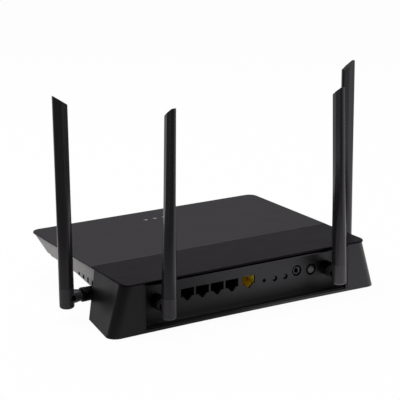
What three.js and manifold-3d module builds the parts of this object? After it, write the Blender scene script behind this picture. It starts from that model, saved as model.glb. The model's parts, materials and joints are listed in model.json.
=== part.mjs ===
// Home wireless router with four folding antennas.
// Lengths are in millimetres and angles in degrees.
// +X is to the right seen from the front, +Y points to the socket side and +Z is up.

import * as THREE from 'three';
import { mergeVertices } from 'three/addons/utils/BufferGeometryUtils.js';
import Module from 'manifold-3d';

const wasm = await Module();
wasm.setup();

// ---------------------------------------------------------------- driving dimensions

// General
const GAP = 0.3; // clearance between pieces that seat on each other
const FACETS = 32; // sides of a large round piece
const SMALL_FACETS = 16; // sides of a small round piece
const CORNER_STEPS = 8; // facets of a rounded corner
const COVE_STEPS = 12; // facets of the panel's curve
const TUBE_SIDES = 6; // sides of a thin lead
const EDGE_STEPS = 10; // facets of the housing's curved rear edge
const BEYOND = 60; // how far a large cutting solid runs past what it cuts
const OVER = 1; // how far a small cut, or the root of a joined solid, runs over

// Deck: the thin top plate, in a long front cover and a rear band
const DECK_LENGTH = 177.8;
const DECK_FRONT_WIDTH = 229.6;
const DECK_REAR_WIDTH = 232;
const DECK_CORNER = 8;
const DECK_THICK = 1.4;
const DECK_HEIGHT = 42.8; // top surface at mid length
const DECK_SLOPE = 0.39; // rises towards the rear
const BAND_LENGTH = 58.4;
const RIM_WALL = 1.2; // locating rim under the deck
const RIM_DEPTH = 3;
const RIM_CLEAR = 2; // rim's ends to the seam and the housing's wall

// Lower shell: the tapered light-coloured under-body
const SHELL_WALL = 2;
const SHELL_INSET = 1; // side wall in from the deck's edge
const SHELL_LAP = 4.5; // how far it reaches into the rear housing
const CHIN_Y = -55.4; // where the front bevel meets the wing's lower edge
const CHIN_DROP = 12; // this and the next drops are below the deck's top at mid length
const CHIN_ANGLE = 20.6;
const WING_MID_Y = -1;
const WING_MID_DROP = 14.2;
const WING_REAR_Y = 22;
const WING_REAR_DROP = 17;
const BELLY_Z = 3; // flat underside
const BELLY_HALF_WIDTH = 72; // flat underside, half
const BELLY_TOP_HALF_WIDTH = 112;
const BELLY_TOP_DROP = 14.8;
const BELLY_FRONT_Y = -30;
const VENT_WIDTH = 2.2;
const VENT_PITCH = 8;
const VENT_COUNT = 4; // on each side
const VENT_REAR_Y = 30.4;
const VENT_TOP_DROP = 12.1;
const VENT_LIFT = 1.3; // above the wing's lower edge

// Rear housing: the flared black shell round the sockets
const HOUSING_FRONT_Y = 36;
const HOUSING_REAR_Y = 87.2;
const HOUSING_BASE_REAR_Y = 87.7;
const HOUSING_BASE_Z = 0.4;
const HOUSING_BASE_FRONT_WIDTH = 242.4;
const HOUSING_BASE_REAR_WIDTH = 256.2;
const HOUSING_TOP_FRONT_WIDTH = 230.8;
const HOUSING_TOP_REAR_WIDTH = 232.2;
const HOUSING_CORNER = 8.5;
const HOUSING_WALL = 2.2;
const HOUSING_FLOOR = 2.4;
const LIP_SAG = 1.7; // the base's rear edge curves in by this much at its middle
const BAR_HEIGHT = 2.1; // bar over the recess, under the deck's lip
const LIP_SLOT = 0.9; // air slot between the bar and the deck

// Recessed socket panel
const PANEL_Y = 77;
const PANEL_WALL = 1.5;
const PANEL_HALF_WIDTH = 98.1;
const COVE_TOP_Z = 24; // the panel curves outwards below this height
const COVE_FOOT_Y = 85.6;
const COVE_FOOT_RISE = 0.8; // above the housing's floor
const COVE_BACK_RISE = 0.2; // the same on the panel's hidden face
const PANEL_EDGE = 0.6; // thickness of the panel's lower edge
const DISH_RADIUS = 9.6;
const DISH_DEPTH = 1.5;

// Circuit board
const BOARD_HALF_WIDTH = 81;
const BOARD_FRONT_Y = -33;
const BOARD_Z = 13.4;
const BOARD_THICK = 1.6;
const BOARD_HOLE_RADIUS = 3.8;
const POST_RADIUS = 2.6; // board posts

// Network sockets
const LAN_COUNT = 4;
const LAN_PITCH = 13.97;
const LAN_MIDDLE_X = 32.2;
const WAN_SPACING = 16.145; // from the nearest of the others
const SOCKET_WIDTH = 12.2;
const SOCKET_TOP_Z = 27.2;
const SOCKET_STEP_Z = 20.2;
const LATCH_WIDTH = 6.6;
const LATCH_TIP_WIDTH = 3.4;
const LATCH_Z = 17;
const SOCKET_DEPTH = 16.5;
const JACK_DEPTH = 20;
const JACK_WALL = 1.9;
const JACK_TOP_Z = 29.4;
const CONTACT_COUNT = 8;
const CONTACT_PITCH = 1.02;
const CONTACT_WIDTH = 0.45;
const CONTACT_THICK = 0.6;
const CONTACT_REACH = 12.4; // tips to the carrier's back
const CARRIER_DEPTH = 3;
const CARRIER_HEIGHT = 2;

// Supply socket
const SUPPLY_X = -52.7;
const SUPPLY_Z = 23.6;
const SUPPLY_RING_RADIUS = 3.9;
const SUPPLY_BORE_RADIUS = 2.9;
const SUPPLY_HOLE_RADIUS = 4.7;
const SUPPLY_PIN_RADIUS = 1;
const SUPPLY_DEPTH = 11;
const SUPPLY_SINK = 0.6; // ring's face below the panel's
const SUPPLY_WALL = 1;
const SUPPLY_BACK_WALL = 2;
const SUPPLY_NOSE = 0.5;

// Buttons: centre, cap radius, how far the cap sinks below the panel's face, travel, stem and switch
const POWER_X = -67.05;
const POWER_Z = 22.4;
const POWER_RADIUS = 3.6;
const POWER_TRAVEL = 1.5;
const POWER_SINK = 0.2;
const POWER_STEM = 6;
const POWER_SWITCH_HALF = 4.2;
const POWER_SWITCH_DEPTH = 10;
const WPS_X = -30.8;
const WIFI_X = -41.1;
const SMALL_BUTTON_Z = 20.6;
const SMALL_BUTTON_RADIUS = 1.7;
const SMALL_BUTTON_TRAVEL = 0.6;
const SMALL_BUTTON_SINK = 0.3;
const SMALL_BUTTON_STEM = 2;
const SMALL_SWITCH_HALF = 3;
const SMALL_SWITCH_DEPTH = 5;
const RESET_X = -20.2;
const RESET_RADIUS = 0.8;
const RESET_SINK = 1.2;
const BUTTON_FLANGE = 0.8; // flange that keeps a button behind the panel
const BUTTON_FLANGE_WIDTH = 0.8;

// Indicator row in the deck
const LED_COUNT = 4;
const LED_PITCH = 9.05;
const LED_Y = -63.3;
const LED_WIDTH = 3;
const LED_DEPTH = 1.8;
const LENS_THICK = 1.4;
const LENS_DEPTH = 7;
const LENS_SINK = 0.05; // lens tops below the deck's surface
const GUIDE_THICK = 2;
const GUIDE_LEG_Y = -28;
const GUIDE_LEG_THICK = 2.4;
const GUIDE_BRIDGE = 8; // length of the stretch that joins the fingers
const GUIDE_BRIDGE_DROP = 6; // bridge's lower edge below the fingers' top

// Parts on the board
const SHIELD_X = -22;
const SHIELD_Y = 12;
const SHIELD_WIDTH = 52;
const SHIELD_DEPTH = 40;
const SHIELD_HEIGHT = 4;
const SHIELD_WALL = 0.6;
const HEAT_WIDTH = 44;
const HEAT_DEPTH = 32;
const HEAT_BASE = 2;
const FIN_COUNT = 7;
const FIN_HEIGHT = 7;
const FIN_THICK = 1.4;
const MAGNETICS_WIDTH = 46;
const MAGNETICS_DEPTH = 13;
const MAGNETICS_HEIGHT = 7.5;
const MAGNETICS_Y = 42;

// Feet and screws
const FOOT_RADIUS = 6;
const FOOT_RECESS = 1;
const FOOT_FRONT_X = 44;
const FOOT_FRONT_Y = -22;
const FOOT_REAR_X = 105;
const FOOT_REAR_Y = 75;
const SCREW_RADIUS = 1.4;
const SCREW_HEAD_RADIUS = 2.7;
const SCREW_HEAD = 1.6;
const SCREW_LENGTH = 13;
const SCREW_BOSS_RADIUS = 4.6;
const SCREW_BOSS = 7; // boss height over the shell's outer face
const SCREW_SINK = 2.6; // counterbore depth
const COVER_POST_RADIUS = 3.2;
const SCREW_FRONT_X = 62;
const SCREW_FRONT_Y = -18;
const SCREW_REAR_X = 106;
const SCREW_REAR_Y = 60;

// Antennas, with the places of the hinge pins' centres
const SIDE_HINGE_Y = 29.3;
const SIDE_HINGE_Z = 20.1;
const REAR_HINGE_X = 81.7;
const REAR_HINGE_Z = 21.8;
const BOSS_PROUD = 0.1; // side antenna's boss beyond the front end of the housing's top edge
const MOUNT_REACH = 18; // hinge pin to the wall that carries the antenna
const MOUNT_FLANGE_RADIUS = 5.8;
const MOUNT_FLANGE = 4.3;
const SLEEVE_RADIUS = 3.4;
const SLEEVE_LENGTH = 4;
const STUB_RADIUS = 2.3;
const STUB_BORE_RADIUS = 1.2;
const COLLAR_RADIUS = 3.2;
const COLLAR = 1.1;
const BARREL_RADIUS = 5.9;
const TONGUE_THICK = 4.1; // the barrel's flat tongue, which carries the hinge pin
const TONGUE_RADIUS = 3.9;
const TONGUE_CLEAR = 0.5; // slot's round end to the tongue
const PIN_RADIUS = 1.3;
const PIN_HEAD_RADIUS = 2.2;
const PIN_HEAD = 0.7;
const PIN_SINK = 4.3; // half the distance between the heads' seats in the blade's cheeks
const SIDE_BLADE_LENGTH = 173.8;
const REAR_BLADE_LENGTH = 168.6;
const BLADE_FOOT = 8.6; // below the pin
const BLADE_OFFSET = 3.7; // centre of the section, outwards of the pin
const BLADE_FOOT_RADIUS = 6.05; // the section is round at the foot
const BLADE_TAPER = 0.0095; // narrowing of the round section per mm of height
const BLADE_DEPTH = 11.1; // the upper section, outwards
const BLADE_ROUND_Z = 25; // the section turns from round here
const BLADE_RIDGE_Z = 95; // to flat sides with a ridge here
const BLADE_RIDGE_X = -0.5;
const BLADE_RIDGE_WIDTH = 5.6;
const BLADE_NOSE_WIDTH = 4.5;
const BLADE_THINNING = 0.017; // ridge and nose get narrower towards the tip, per mm
const BLADE_TIP_SLANT = 34;
const BLADE_FACETS = 16; // sides of a section
const BLADE_LEVELS = 6; // sections from the round one to the ridged one
const FOOT_ROUND = 1.4; // height of the foot's rounded edge
const FOOT_TAPER = 1; // and how far its end lies inside the section
const BLADE_CLEAR = 0.4; // barrel's end to the swept foot
const HEEL_Z = -5.8; // where the foot's inner edge leaves the knuckle
const HEEL_TOP_X = -2.6;
const HEEL_FOOT_X = 0.6;
const KNUCKLE_RADIUS = 5.6; // round cheeks between the blade and the barrel
const KNUCKLE_END_RADIUS = 4.6;
const POCKET_FOOT_Z = 2.6; // lower end of the pocket that holds the element, in the slot
const ELEMENT_WIDTH = 5.6;
const ELEMENT_THICK = 0.8;
const ELEMENT_LENGTH = 130;
const LEAD_RADIUS = 0.65;
const LEAD_STEPS = 14;
const LEAD_START = 2; // from the blade's foot into the barrel
const LEAD_SLOPE_Z = 3; // height over the board at which a lead starts down to it
const LEAD_PITCH = 6; // between the points where a lead comes down
const LEAD_END_X = 66; // socket of a rear antenna's lead on the board
const LEAD_END_Y = 52;
const SIDE_LEAD_END_X = 72; // the same for a side antenna's lead
const SIDE_LEAD_END_Y = 42;
const BOSS_WALL = 1.8; // hollow boss that carries a side antenna
const BOSS_LENGTH = 12.5;

// Finishes
const COVER = { color: 0x232326, roughness: 0.5, metalness: 0 };
const SATIN_BLACK = { color: 0x1b1b1d, roughness: 0.4, metalness: 0 };
const MATT_BLACK = { color: 0x1b1b1d, roughness: 0.6, metalness: 0 };
const SHELL_PALE = { color: 0xb9b8b6, roughness: 0.5, metalness: 0 };
const RUBBER = { color: 0x232326, roughness: 0.9, metalness: 0 };
const CLEAR = { color: 0xe8eef2, roughness: 0.2, metalness: 0 };
const YELLOW = { color: 0xd8a70e, roughness: 0.4, metalness: 0 };
const BOARD_GREEN = { color: 0x1f5a38, roughness: 0.6, metalness: 0 };
const TIN = { color: 0xb8bbbf, roughness: 0.35, metalness: 1 };
const GOLD = { color: 0xc9a24a, roughness: 0.3, metalness: 1 };

// ---------------------------------------------------------------- worked-out places

const DECK_HALF = DECK_LENGTH / 2;
const CHIN_Z = DECK_HEIGHT - CHIN_DROP;
const WING_MID_Z = DECK_HEIGHT - WING_MID_DROP;
const WING_REAR_Z = DECK_HEIGHT - WING_REAR_DROP;
const BELLY_TOP_Z = DECK_HEIGHT - BELLY_TOP_DROP;
const VENT_TOP_Z = DECK_HEIGHT - VENT_TOP_DROP;
const SEAM_Y = DECK_HALF - BAND_LENGTH;
const slope = THREE.MathUtils.degToRad(DECK_SLOPE);
const BOARD_TOP_Z = BOARD_Z + BOARD_THICK;
const PANEL_BACK_Y = PANEL_Y - PANEL_WALL;
const BOARD_REAR_Y = PANEL_BACK_Y - DISH_DEPTH - GAP;
const HOUSING_FLOOR_Z = HOUSING_BASE_Z + HOUSING_FLOOR;
const WAN_X = LAN_MIDDLE_X - LAN_PITCH * (LAN_COUNT - 1) / 2 - WAN_SPACING;
const SHELL_REAR_Y = HOUSING_FRONT_Y + SHELL_LAP;
const SIDE_HINGE_X = HOUSING_TOP_FRONT_WIDTH / 2 + BOSS_PROUD + MOUNT_REACH;
const REAR_HINGE_Y = PANEL_Y - DISH_DEPTH + MOUNT_REACH;
const PIN_HOLE_RADIUS = PIN_RADIUS + GAP;
const SLOT_HALF = TONGUE_THICK / 2 + GAP;
const SLOT_ROOM = TONGUE_RADIUS + TONGUE_CLEAR;

// Height of the deck's top surface, or of a plane below it, at a given y
const deckZ = (y, below = 0) => DECK_HEIGHT + y * Math.tan(slope) - below / Math.cos(slope);

// Top of the bar over the recess, where the deck is lowest over it
const BAR_TOP_Z = deckZ(HOUSING_REAR_Y - HOUSING_WALL, DECK_THICK) - LIP_SLOT;
const RECESS_TOP_Z = BAR_TOP_Z - BAR_HEIGHT;

// ---------------------------------------------------------------- geometry helpers

// A closed three.js geometry as a solid that can be joined and cut
function solid(geometry) {
  const bare = geometry.index ? geometry.clone() : geometry;
  bare.deleteAttribute('normal');
  bare.deleteAttribute('uv');
  const welded = mergeVertices(bare, 1e-4);
  return new wasm.Manifold(new wasm.Mesh({
    numProp: 3,
    vertProperties: new Float32Array(welded.attributes.position.array),
    triVerts: new Uint32Array(welded.index.array),
  }));
}

// A solid back as a three.js geometry
function geometryOf(body) {
  const mesh = body.getMesh();
  const geometry = new THREE.BufferGeometry();
  geometry.setAttribute('position', new THREE.BufferAttribute(mesh.vertProperties, 3));
  geometry.setIndex(new THREE.BufferAttribute(mesh.triVerts, 1));
  return geometry;
}

const join = (first, ...rest) => rest.reduce((sum, next) => sum.add(next), first);
const cut = (first, ...rest) => rest.reduce((left, next) => left.subtract(next), first);

function box(x0, x1, y0, y1, z0, z1) {
  const geometry = new THREE.BoxGeometry(x1 - x0, y1 - y0, z1 - z0);
  geometry.translate((x0 + x1) / 2, (y0 + y1) / 2, (z0 + z1) / 2);
  return solid(geometry);
}

// Frames for an extrusion along each axis: [outline's first axis, second axis, length axis]
const ALONG = {
  x: new THREE.Matrix4().makeBasis(
    new THREE.Vector3(0, 1, 0), new THREE.Vector3(0, 0, 1), new THREE.Vector3(1, 0, 0)),
  y: new THREE.Matrix4().makeBasis(
    new THREE.Vector3(1, 0, 0), new THREE.Vector3(0, 0, 1), new THREE.Vector3(0, -1, 0)),
  z: new THREE.Matrix4(),
};

// An outline drawn in the plane across an axis (y-z, x-z or x-y), extruded from start to end
function prism(axis, outline, start, end) {
  const shape = new THREE.Shape(outline.map(([u, v]) => new THREE.Vector2(u, v)));
  const geometry = new THREE.ExtrudeGeometry(shape, { depth: end - start, bevelEnabled: false });
  geometry.translate(0, 0, axis === 'y' ? -end : start);
  geometry.applyMatrix4(ALONG[axis]);
  return solid(geometry);
}

// A straight round rod or cone along an axis, between two stations on it
function rod(axis, radius, start, end, across, facets = FACETS, endRadius = radius) {
  const geometry = new THREE.CylinderGeometry(endRadius, radius, end - start, facets);
  geometry.translate(0, (start + end) / 2, 0);
  const [u, v] = across;
  if (axis === 'x') {
    geometry.rotateZ(-Math.PI / 2);
    geometry.translate(0, u, v);
  } else if (axis === 'y') {
    geometry.translate(u, 0, v);
  } else {
    geometry.rotateX(Math.PI / 2);
    geometry.translate(u, v, 0);
  }
  return solid(geometry);
}

// A closed outline moved inwards by a distance (outwards when it is negative), with mitred corners
function inset(outline, distance) {
  const count = outline.length;
  return outline.map((corner, i) => {
    const here = new THREE.Vector2(...corner);
    const before = here.clone().sub(new THREE.Vector2(...outline[(i + count - 1) % count])).normalize();
    const after = new THREE.Vector2(...outline[(i + 1) % count]).sub(here).normalize();
    const normal = new THREE.Vector2(-before.y - after.y, before.x + after.x).normalize();
    const reach = distance / (normal.x * -before.y + normal.y * before.x);
    return [here.x + normal.x * reach, here.y + normal.y * reach];
  });
}

// Points of an arc in a plane, from one angle to another, in degrees
function arc(centre, radius, from, to, steps) {
  return Array.from({ length: steps + 1 }, (_, i) => {
    const angle = THREE.MathUtils.degToRad(from + (to - from) * i / steps);
    return [centre[0] + radius * Math.cos(angle), centre[1] + radius * Math.sin(angle)];
  });
}

// Points of a quadratic curve
function bend(start, control, end, steps) {
  const curve = new THREE.QuadraticBezierCurve(
    new THREE.Vector2(...start), new THREE.Vector2(...control), new THREE.Vector2(...end));
  return curve.getPoints(steps).map((point) => [point.x, point.y]);
}

// A closed body through rings of points, each ring with the same number of them
function loft(rings) {
  const count = rings[0].length;
  const positions = rings.flat(2);
  const index = [];
  for (let level = 0; level + 1 < rings.length; level += 1) {
    for (let i = 0; i < count; i += 1) {
      const a = level * count + i;
      const b = level * count + (i + 1) % count;
      index.push(a, b, b + count, a, b + count, a + count);
    }
  }
  for (const [level, up] of [[0, false], [rings.length - 1, true]]) {
    const contour = rings[level].map(([x, y]) => new THREE.Vector2(x, y));
    for (const [a, b, c] of THREE.ShapeUtils.triangulateShape(contour, [])) {
      const [p, q, r] = [a, b, c].map((i) => i + level * count);
      index.push(...(up ? [p, q, r] : [p, r, q]));
    }
  }
  const geometry = new THREE.BufferGeometry();
  geometry.setAttribute('position', new THREE.Float32BufferAttribute(positions, 3));
  geometry.setIndex(index);
  return solid(geometry);
}

// A round tube of a given radius along points joined by a smooth curve
function tube(points, radius, steps) {
  const curve = new THREE.CatmullRomCurve3(points.map((point) => new THREE.Vector3(...point)));
  const outline = arc([0, 0], radius, 0, 360, TUBE_SIDES).slice(1);
  const section = new THREE.Shape(outline.map(([u, v]) => new THREE.Vector2(u, v)));
  return solid(new THREE.ExtrudeGeometry(section, { steps, extrudePath: curve, bevelEnabled: false }));
}

// A profile of [radius, station] points turned about the x axis
function turned(profile, facets = FACETS) {
  const points = [...profile, profile[0]].map(([radius, station]) => new THREE.Vector2(radius, station));
  const geometry = new THREE.LatheGeometry(points, facets);
  geometry.rotateZ(-Math.PI / 2);
  return solid(geometry);
}

// ---------------------------------------------------------------- shared outlines

// The deck in plan: a slightly widening plate with rounded corners
function deckOutline() {
  const front = DECK_FRONT_WIDTH / 2;
  const rear = DECK_REAR_WIDTH / 2;
  const r = DECK_CORNER;
  return [
    ...arc([rear - r, DECK_HALF - r], r, 0, 90, CORNER_STEPS),
    ...arc([-rear + r, DECK_HALF - r], r, 90, 180, CORNER_STEPS),
    ...arc([-front + r, -DECK_HALF + r], r, 180, 270, CORNER_STEPS),
    ...arc([front - r, -DECK_HALF + r], r, 270, 360, CORNER_STEPS),
  ];
}

// The part of space above a plane that lies a distance below the deck's top surface
function aboveDeck(below) {
  const reach = DECK_LENGTH + BEYOND;
  const geometry = new THREE.BoxGeometry(2 * reach, 2 * reach, 2 * BEYOND);
  geometry.translate(0, 0, BEYOND - below);
  geometry.rotateX(slope);
  geometry.translate(0, 0, DECK_HEIGHT);
  return solid(geometry);
}

// The slab between two depths below the deck's top surface, inside an outline in plan
function deckSlab(outline, top, bottom) {
  const column = prism('z', outline, DECK_HEIGHT - BEYOND, DECK_HEIGHT + BEYOND);
  const slab = aboveDeck(bottom).intersect(column);
  return slab.subtract(aboveDeck(top));
}

// Lower edge of the under-body's side walls at a given y
function wingZ(y) {
  const behind = (WING_REAR_Z - WING_MID_Z) / (WING_REAR_Y - WING_MID_Y);
  const ahead = (WING_MID_Z - CHIN_Z) / (WING_MID_Y - CHIN_Y);
  return WING_MID_Z + (y - WING_MID_Y) * (y > WING_MID_Y ? behind : ahead);
}

// The under-body as one full block, with all its walls moved inwards by a distance
function underBody(distance) {
  const roof = DECK_HEIGHT + BEYOND;
  const rear = SHELL_REAR_Y + BEYOND;
  const noseY = CHIN_Y - (roof - CHIN_Z) / Math.tan(THREE.MathUtils.degToRad(CHIN_ANGLE));
  const wide = DECK_REAR_WIDTH;
  const wing = [
    [noseY, roof], [CHIN_Y, CHIN_Z], [WING_MID_Y, WING_MID_Z], [WING_REAR_Y, WING_REAR_Z],
    [rear, wingZ(rear)], [rear, roof],
  ];
  const keel = [[noseY, roof], [CHIN_Y, CHIN_Z], [BELLY_FRONT_Y, BELLY_Z], [rear, BELLY_Z], [rear, roof]];
  const section = [
    [-BELLY_TOP_HALF_WIDTH, BELLY_TOP_Z], [-BELLY_HALF_WIDTH, BELLY_Z], [BELLY_HALF_WIDTH, BELLY_Z],
    [BELLY_TOP_HALF_WIDTH, BELLY_TOP_Z], [BELLY_TOP_HALF_WIDTH, roof], [-BELLY_TOP_HALF_WIDTH, roof],
  ];
  const slab = prism('x', inset(wing, distance), -wide, wide);
  const belly = prism('x', inset(keel, distance), -wide, wide)
    .intersect(prism('y', inset(section, distance), -DECK_LENGTH, rear));
  const plan = prism('z', inset(deckOutline(), SHELL_INSET + distance), -BEYOND, roof);
  return slab.add(belly).intersect(plan);
}

// One ring of the rear housing's wall, in plan, with its rear edge curving in by a sag
function housingRing(frontWidth, rearWidth, rearY, sag, wall, z) {
  const front = frontWidth / 2 - wall;
  const rear = rearWidth / 2 - wall;
  const back = rearY - wall;
  const r = HOUSING_CORNER - wall;
  const edge = bend([rear - r, back], [0, back - 2 * sag], [-rear + r, back], EDGE_STEPS).slice(1, -1);
  return [
    [front, HOUSING_FRONT_Y + wall],
    ...arc([rear - r, back - r], r, 0, 90, CORNER_STEPS),
    ...edge,
    ...arc([-rear + r, back - r], r, 90, 180, CORNER_STEPS),
    [-front, HOUSING_FRONT_Y + wall],
  ].map(([x, y]) => [x, y, z]);
}

// The rear housing as one full block, with its walls moved inwards by a distance
function housingBody(wall, baseZ) {
  const topZ = deckZ(DECK_HALF) + BEYOND / 4;
  const seatZ = deckZ(HOUSING_FRONT_Y, DECK_THICK);
  const share = (z) => (z - HOUSING_BASE_Z) / (seatZ - HOUSING_BASE_Z);
  const at = (z) => {
    const mix = (low, high) => low + (high - low) * share(z);
    return housingRing(
      mix(HOUSING_BASE_FRONT_WIDTH, HOUSING_TOP_FRONT_WIDTH),
      mix(HOUSING_BASE_REAR_WIDTH, HOUSING_TOP_REAR_WIDTH),
      mix(HOUSING_BASE_REAR_Y, HOUSING_REAR_Y),
      LIP_SAG * (1 - share(z)),
      wall,
      z,
    );
  };
  return loft([at(baseZ), at(topZ)]);
}

// Outline of a network socket's mouth in the x-z plane, grown by a margin
function socketOutline(x, margin) {
  const half = SOCKET_WIDTH / 2 + margin;
  const latch = LATCH_WIDTH / 2 + margin;
  const tip = LATCH_TIP_WIDTH / 2 + margin;
  const stepZ = (SOCKET_STEP_Z + LATCH_Z) / 2;
  return [
    [x - half, SOCKET_TOP_Z + margin], [x - half, SOCKET_STEP_Z - margin],
    [x - latch, SOCKET_STEP_Z - margin], [x - latch, stepZ - margin],
    [x - tip, stepZ - margin], [x - tip, LATCH_Z - margin],
    [x + tip, LATCH_Z - margin], [x + tip, stepZ - margin],
    [x + latch, stepZ - margin], [x + latch, SOCKET_STEP_Z - margin],
    [x + half, SOCKET_STEP_Z - margin], [x + half, SOCKET_TOP_Z + margin],
  ];
}

// Stations of an even row about its middle
function row(count, pitch, middle = 0) {
  return Array.from({ length: count }, (_, i) => middle + (i - (count - 1) / 2) * pitch);
}

const lanX = row(LAN_COUNT, LAN_PITCH, LAN_MIDDLE_X);
const ledX = row(LED_COUNT, LED_PITCH);
const SIDES = [1, -1];
const frontScrews = SIDES.map((side) => [side * SCREW_FRONT_X, SCREW_FRONT_Y]);
const rearScrews = SIDES.map((side) => [side * SCREW_REAR_X, SCREW_REAR_Y]);

// ---------------------------------------------------------------- screws, bosses and posts

// Post under the deck that a screw bites into; its foot stands clear above the shell's boss
function coverPost([x, y], baseZ) {
  const footZ = baseZ + SCREW_BOSS + GAP;
  const post = rod('z', COVER_POST_RADIUS, footZ, deckZ(y, DECK_THICK / 2), [x, y], SMALL_FACETS);
  const boreZ = baseZ + SCREW_SINK + SCREW_LENGTH + GAP;
  const bore = rod('z', SCREW_RADIUS + GAP, footZ - OVER, boreZ, [x, y], SMALL_FACETS);
  return post.subtract(bore);
}

// Boss on a shell that a screw passes through, and the stepped hole in it
function screwBoss([x, y], baseZ) {
  return rod('z', SCREW_BOSS_RADIUS, baseZ, baseZ + SCREW_BOSS, [x, y], SMALL_FACETS);
}

function screwHole([x, y], baseZ) {
  return join(
    rod('z', SCREW_HEAD_RADIUS + GAP, baseZ - OVER, baseZ + SCREW_SINK, [x, y], SMALL_FACETS),
    rod('z', SCREW_RADIUS + GAP, baseZ - OVER, baseZ + SCREW_BOSS + OVER, [x, y], SMALL_FACETS),
  );
}

function screw([x, y], baseZ) {
  const seatZ = baseZ + SCREW_SINK - GAP;
  const head = rod('z', SCREW_HEAD_RADIUS, seatZ - SCREW_HEAD, seatZ, [x, y], SMALL_FACETS);
  const shank = rod('z', SCREW_RADIUS, seatZ - SCREW_HEAD / 2, seatZ + SCREW_LENGTH, [x, y], SMALL_FACETS);
  const slotZ = seatZ - SCREW_HEAD / 2;
  const long = SCREW_RADIUS;
  const narrow = SCREW_RADIUS / 4;
  const slots = join(
    box(x - long, x + long, y - narrow, y + narrow, baseZ - BEYOND, slotZ),
    box(x - narrow, x + narrow, y - long, y + long, baseZ - BEYOND, slotZ),
  );
  return join(head, shank).subtract(slots);
}

const foot = ([x, y], baseZ) => rod('z', FOOT_RADIUS, 0, baseZ + FOOT_RECESS - GAP, [x, y]);
const footRecess = ([x, y], baseZ) => rod('z', FOOT_RADIUS + GAP, -BEYOND, baseZ + FOOT_RECESS, [x, y]);
const boardPost = ([x, y], floorZ) => rod('z', POST_RADIUS, floorZ, BOARD_Z - GAP, [x, y], SMALL_FACETS);

const frontFeet = SIDES.map((side) => [side * FOOT_FRONT_X, FOOT_FRONT_Y]);
const rearFeet = SIDES.map((side) => [side * FOOT_REAR_X, FOOT_REAR_Y]);

// ---------------------------------------------------------------- deck pieces

// Locating rim under a stretch of the deck, just inside the shell's wall
function deckRim(y0, y1) {
  const outer = inset(deckOutline(), SHELL_INSET + SHELL_WALL + HOUSING_WALL);
  const ring = cut(
    deckSlab(outer, DECK_THICK / 2, DECK_THICK + RIM_DEPTH),
    deckSlab(inset(outer, RIM_WALL), 0, DECK_THICK + RIM_DEPTH + OVER),
  );
  return ring.intersect(box(-DECK_LENGTH, DECK_LENGTH, y0, y1, -BEYOND, DECK_HEIGHT + BEYOND));
}

function topCover() {
  const frontOnly = box(-DECK_LENGTH, DECK_LENGTH, -DECK_LENGTH, SEAM_Y, -BEYOND, DECK_HEIGHT + BEYOND);
  const plate = deckSlab(deckOutline(), 0, DECK_THICK).intersect(frontOnly);
  const windows = ledX.map((x) => box(
    x - LED_WIDTH / 2 - GAP, x + LED_WIDTH / 2 + GAP,
    LED_Y - LED_DEPTH / 2 - GAP, LED_Y + LED_DEPTH / 2 + GAP,
    0, DECK_HEIGHT + BEYOND));
  const posts = frontScrews.map((place) => coverPost(place, BELLY_Z));
  return cut(join(plate, deckRim(CHIN_Y, SEAM_Y - RIM_CLEAR), ...posts), ...windows);
}

function rearCoverBand() {
  const rearOnly = box(-DECK_LENGTH, DECK_LENGTH, SEAM_Y + GAP, DECK_LENGTH, -BEYOND, DECK_HEIGHT + BEYOND);
  const plate = deckSlab(deckOutline(), 0, DECK_THICK).intersect(rearOnly);
  const posts = rearScrews.map((place) => coverPost(place, HOUSING_BASE_Z));
  const rim = deckRim(SHELL_REAR_Y + RIM_CLEAR, PANEL_BACK_Y - 2 * RIM_CLEAR);
  return join(plate, rim, ...posts);
}

// Clear bar under the front cover whose bosses fill the indicator windows
function ledLensBar() {
  const half = (LED_COUNT * LED_PITCH) / 2;
  const outline = [
    [-half, LED_Y - LENS_DEPTH / 2], [half, LED_Y - LENS_DEPTH / 2],
    [half, LED_Y + LENS_DEPTH / 2], [-half, LED_Y + LENS_DEPTH / 2],
  ];
  const bar = deckSlab(outline, DECK_THICK + GAP, DECK_THICK + GAP + LENS_THICK);
  const bosses = ledX.map((x) => {
    const column = [
      [x - LED_WIDTH / 2, LED_Y - LED_DEPTH / 2], [x + LED_WIDTH / 2, LED_Y - LED_DEPTH / 2],
      [x + LED_WIDTH / 2, LED_Y + LED_DEPTH / 2], [x - LED_WIDTH / 2, LED_Y + LED_DEPTH / 2],
    ];
    return deckSlab(column, LENS_SINK, DECK_THICK + GAP + LENS_THICK / 2);
  });
  return join(bar.intersect(underBody(SHELL_WALL + GAP)), ...bosses);
}

// Light pipe: one finger for each indicator, joined over the board and turned down to its lamps
function lightGuide() {
  const noseY = LED_Y - LED_DEPTH;
  const topZ = deckZ(noseY, DECK_THICK + GAP + LENS_THICK) - GAP;
  const profile = [
    [noseY, topZ - GUIDE_THICK],
    [GUIDE_LEG_Y - GUIDE_LEG_THICK, topZ - GUIDE_THICK],
    [GUIDE_LEG_Y - GUIDE_LEG_THICK, BOARD_TOP_Z + GAP],
    [GUIDE_LEG_Y, BOARD_TOP_Z + GAP],
    [GUIDE_LEG_Y, topZ],
    [noseY, topZ],
  ];
  const half = ((LED_COUNT - 1) * LED_PITCH + LED_WIDTH) / 2;
  const sheet = prism('x', profile, -half, half).intersect(underBody(SHELL_WALL + GAP));
  const bridgeZ = topZ - GUIDE_BRIDGE_DROP;
  const bridgeY = GUIDE_LEG_Y - GUIDE_BRIDGE;
  const slots = ledX.slice(1).map((x) => {
    const middle = x - LED_PITCH / 2;
    const reach = (LED_PITCH - LED_WIDTH) / 2;
    const top = box(middle - reach, middle + reach, LED_Y - BEYOND, bridgeY, bridgeZ, topZ + OVER);
    const leg = box(middle - reach, middle + reach, bridgeY, GUIDE_LEG_Y + OVER, 0, bridgeZ);
    return join(top, leg);
  });
  return cut(sheet, ...slots);
}

// ---------------------------------------------------------------- shells

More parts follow.
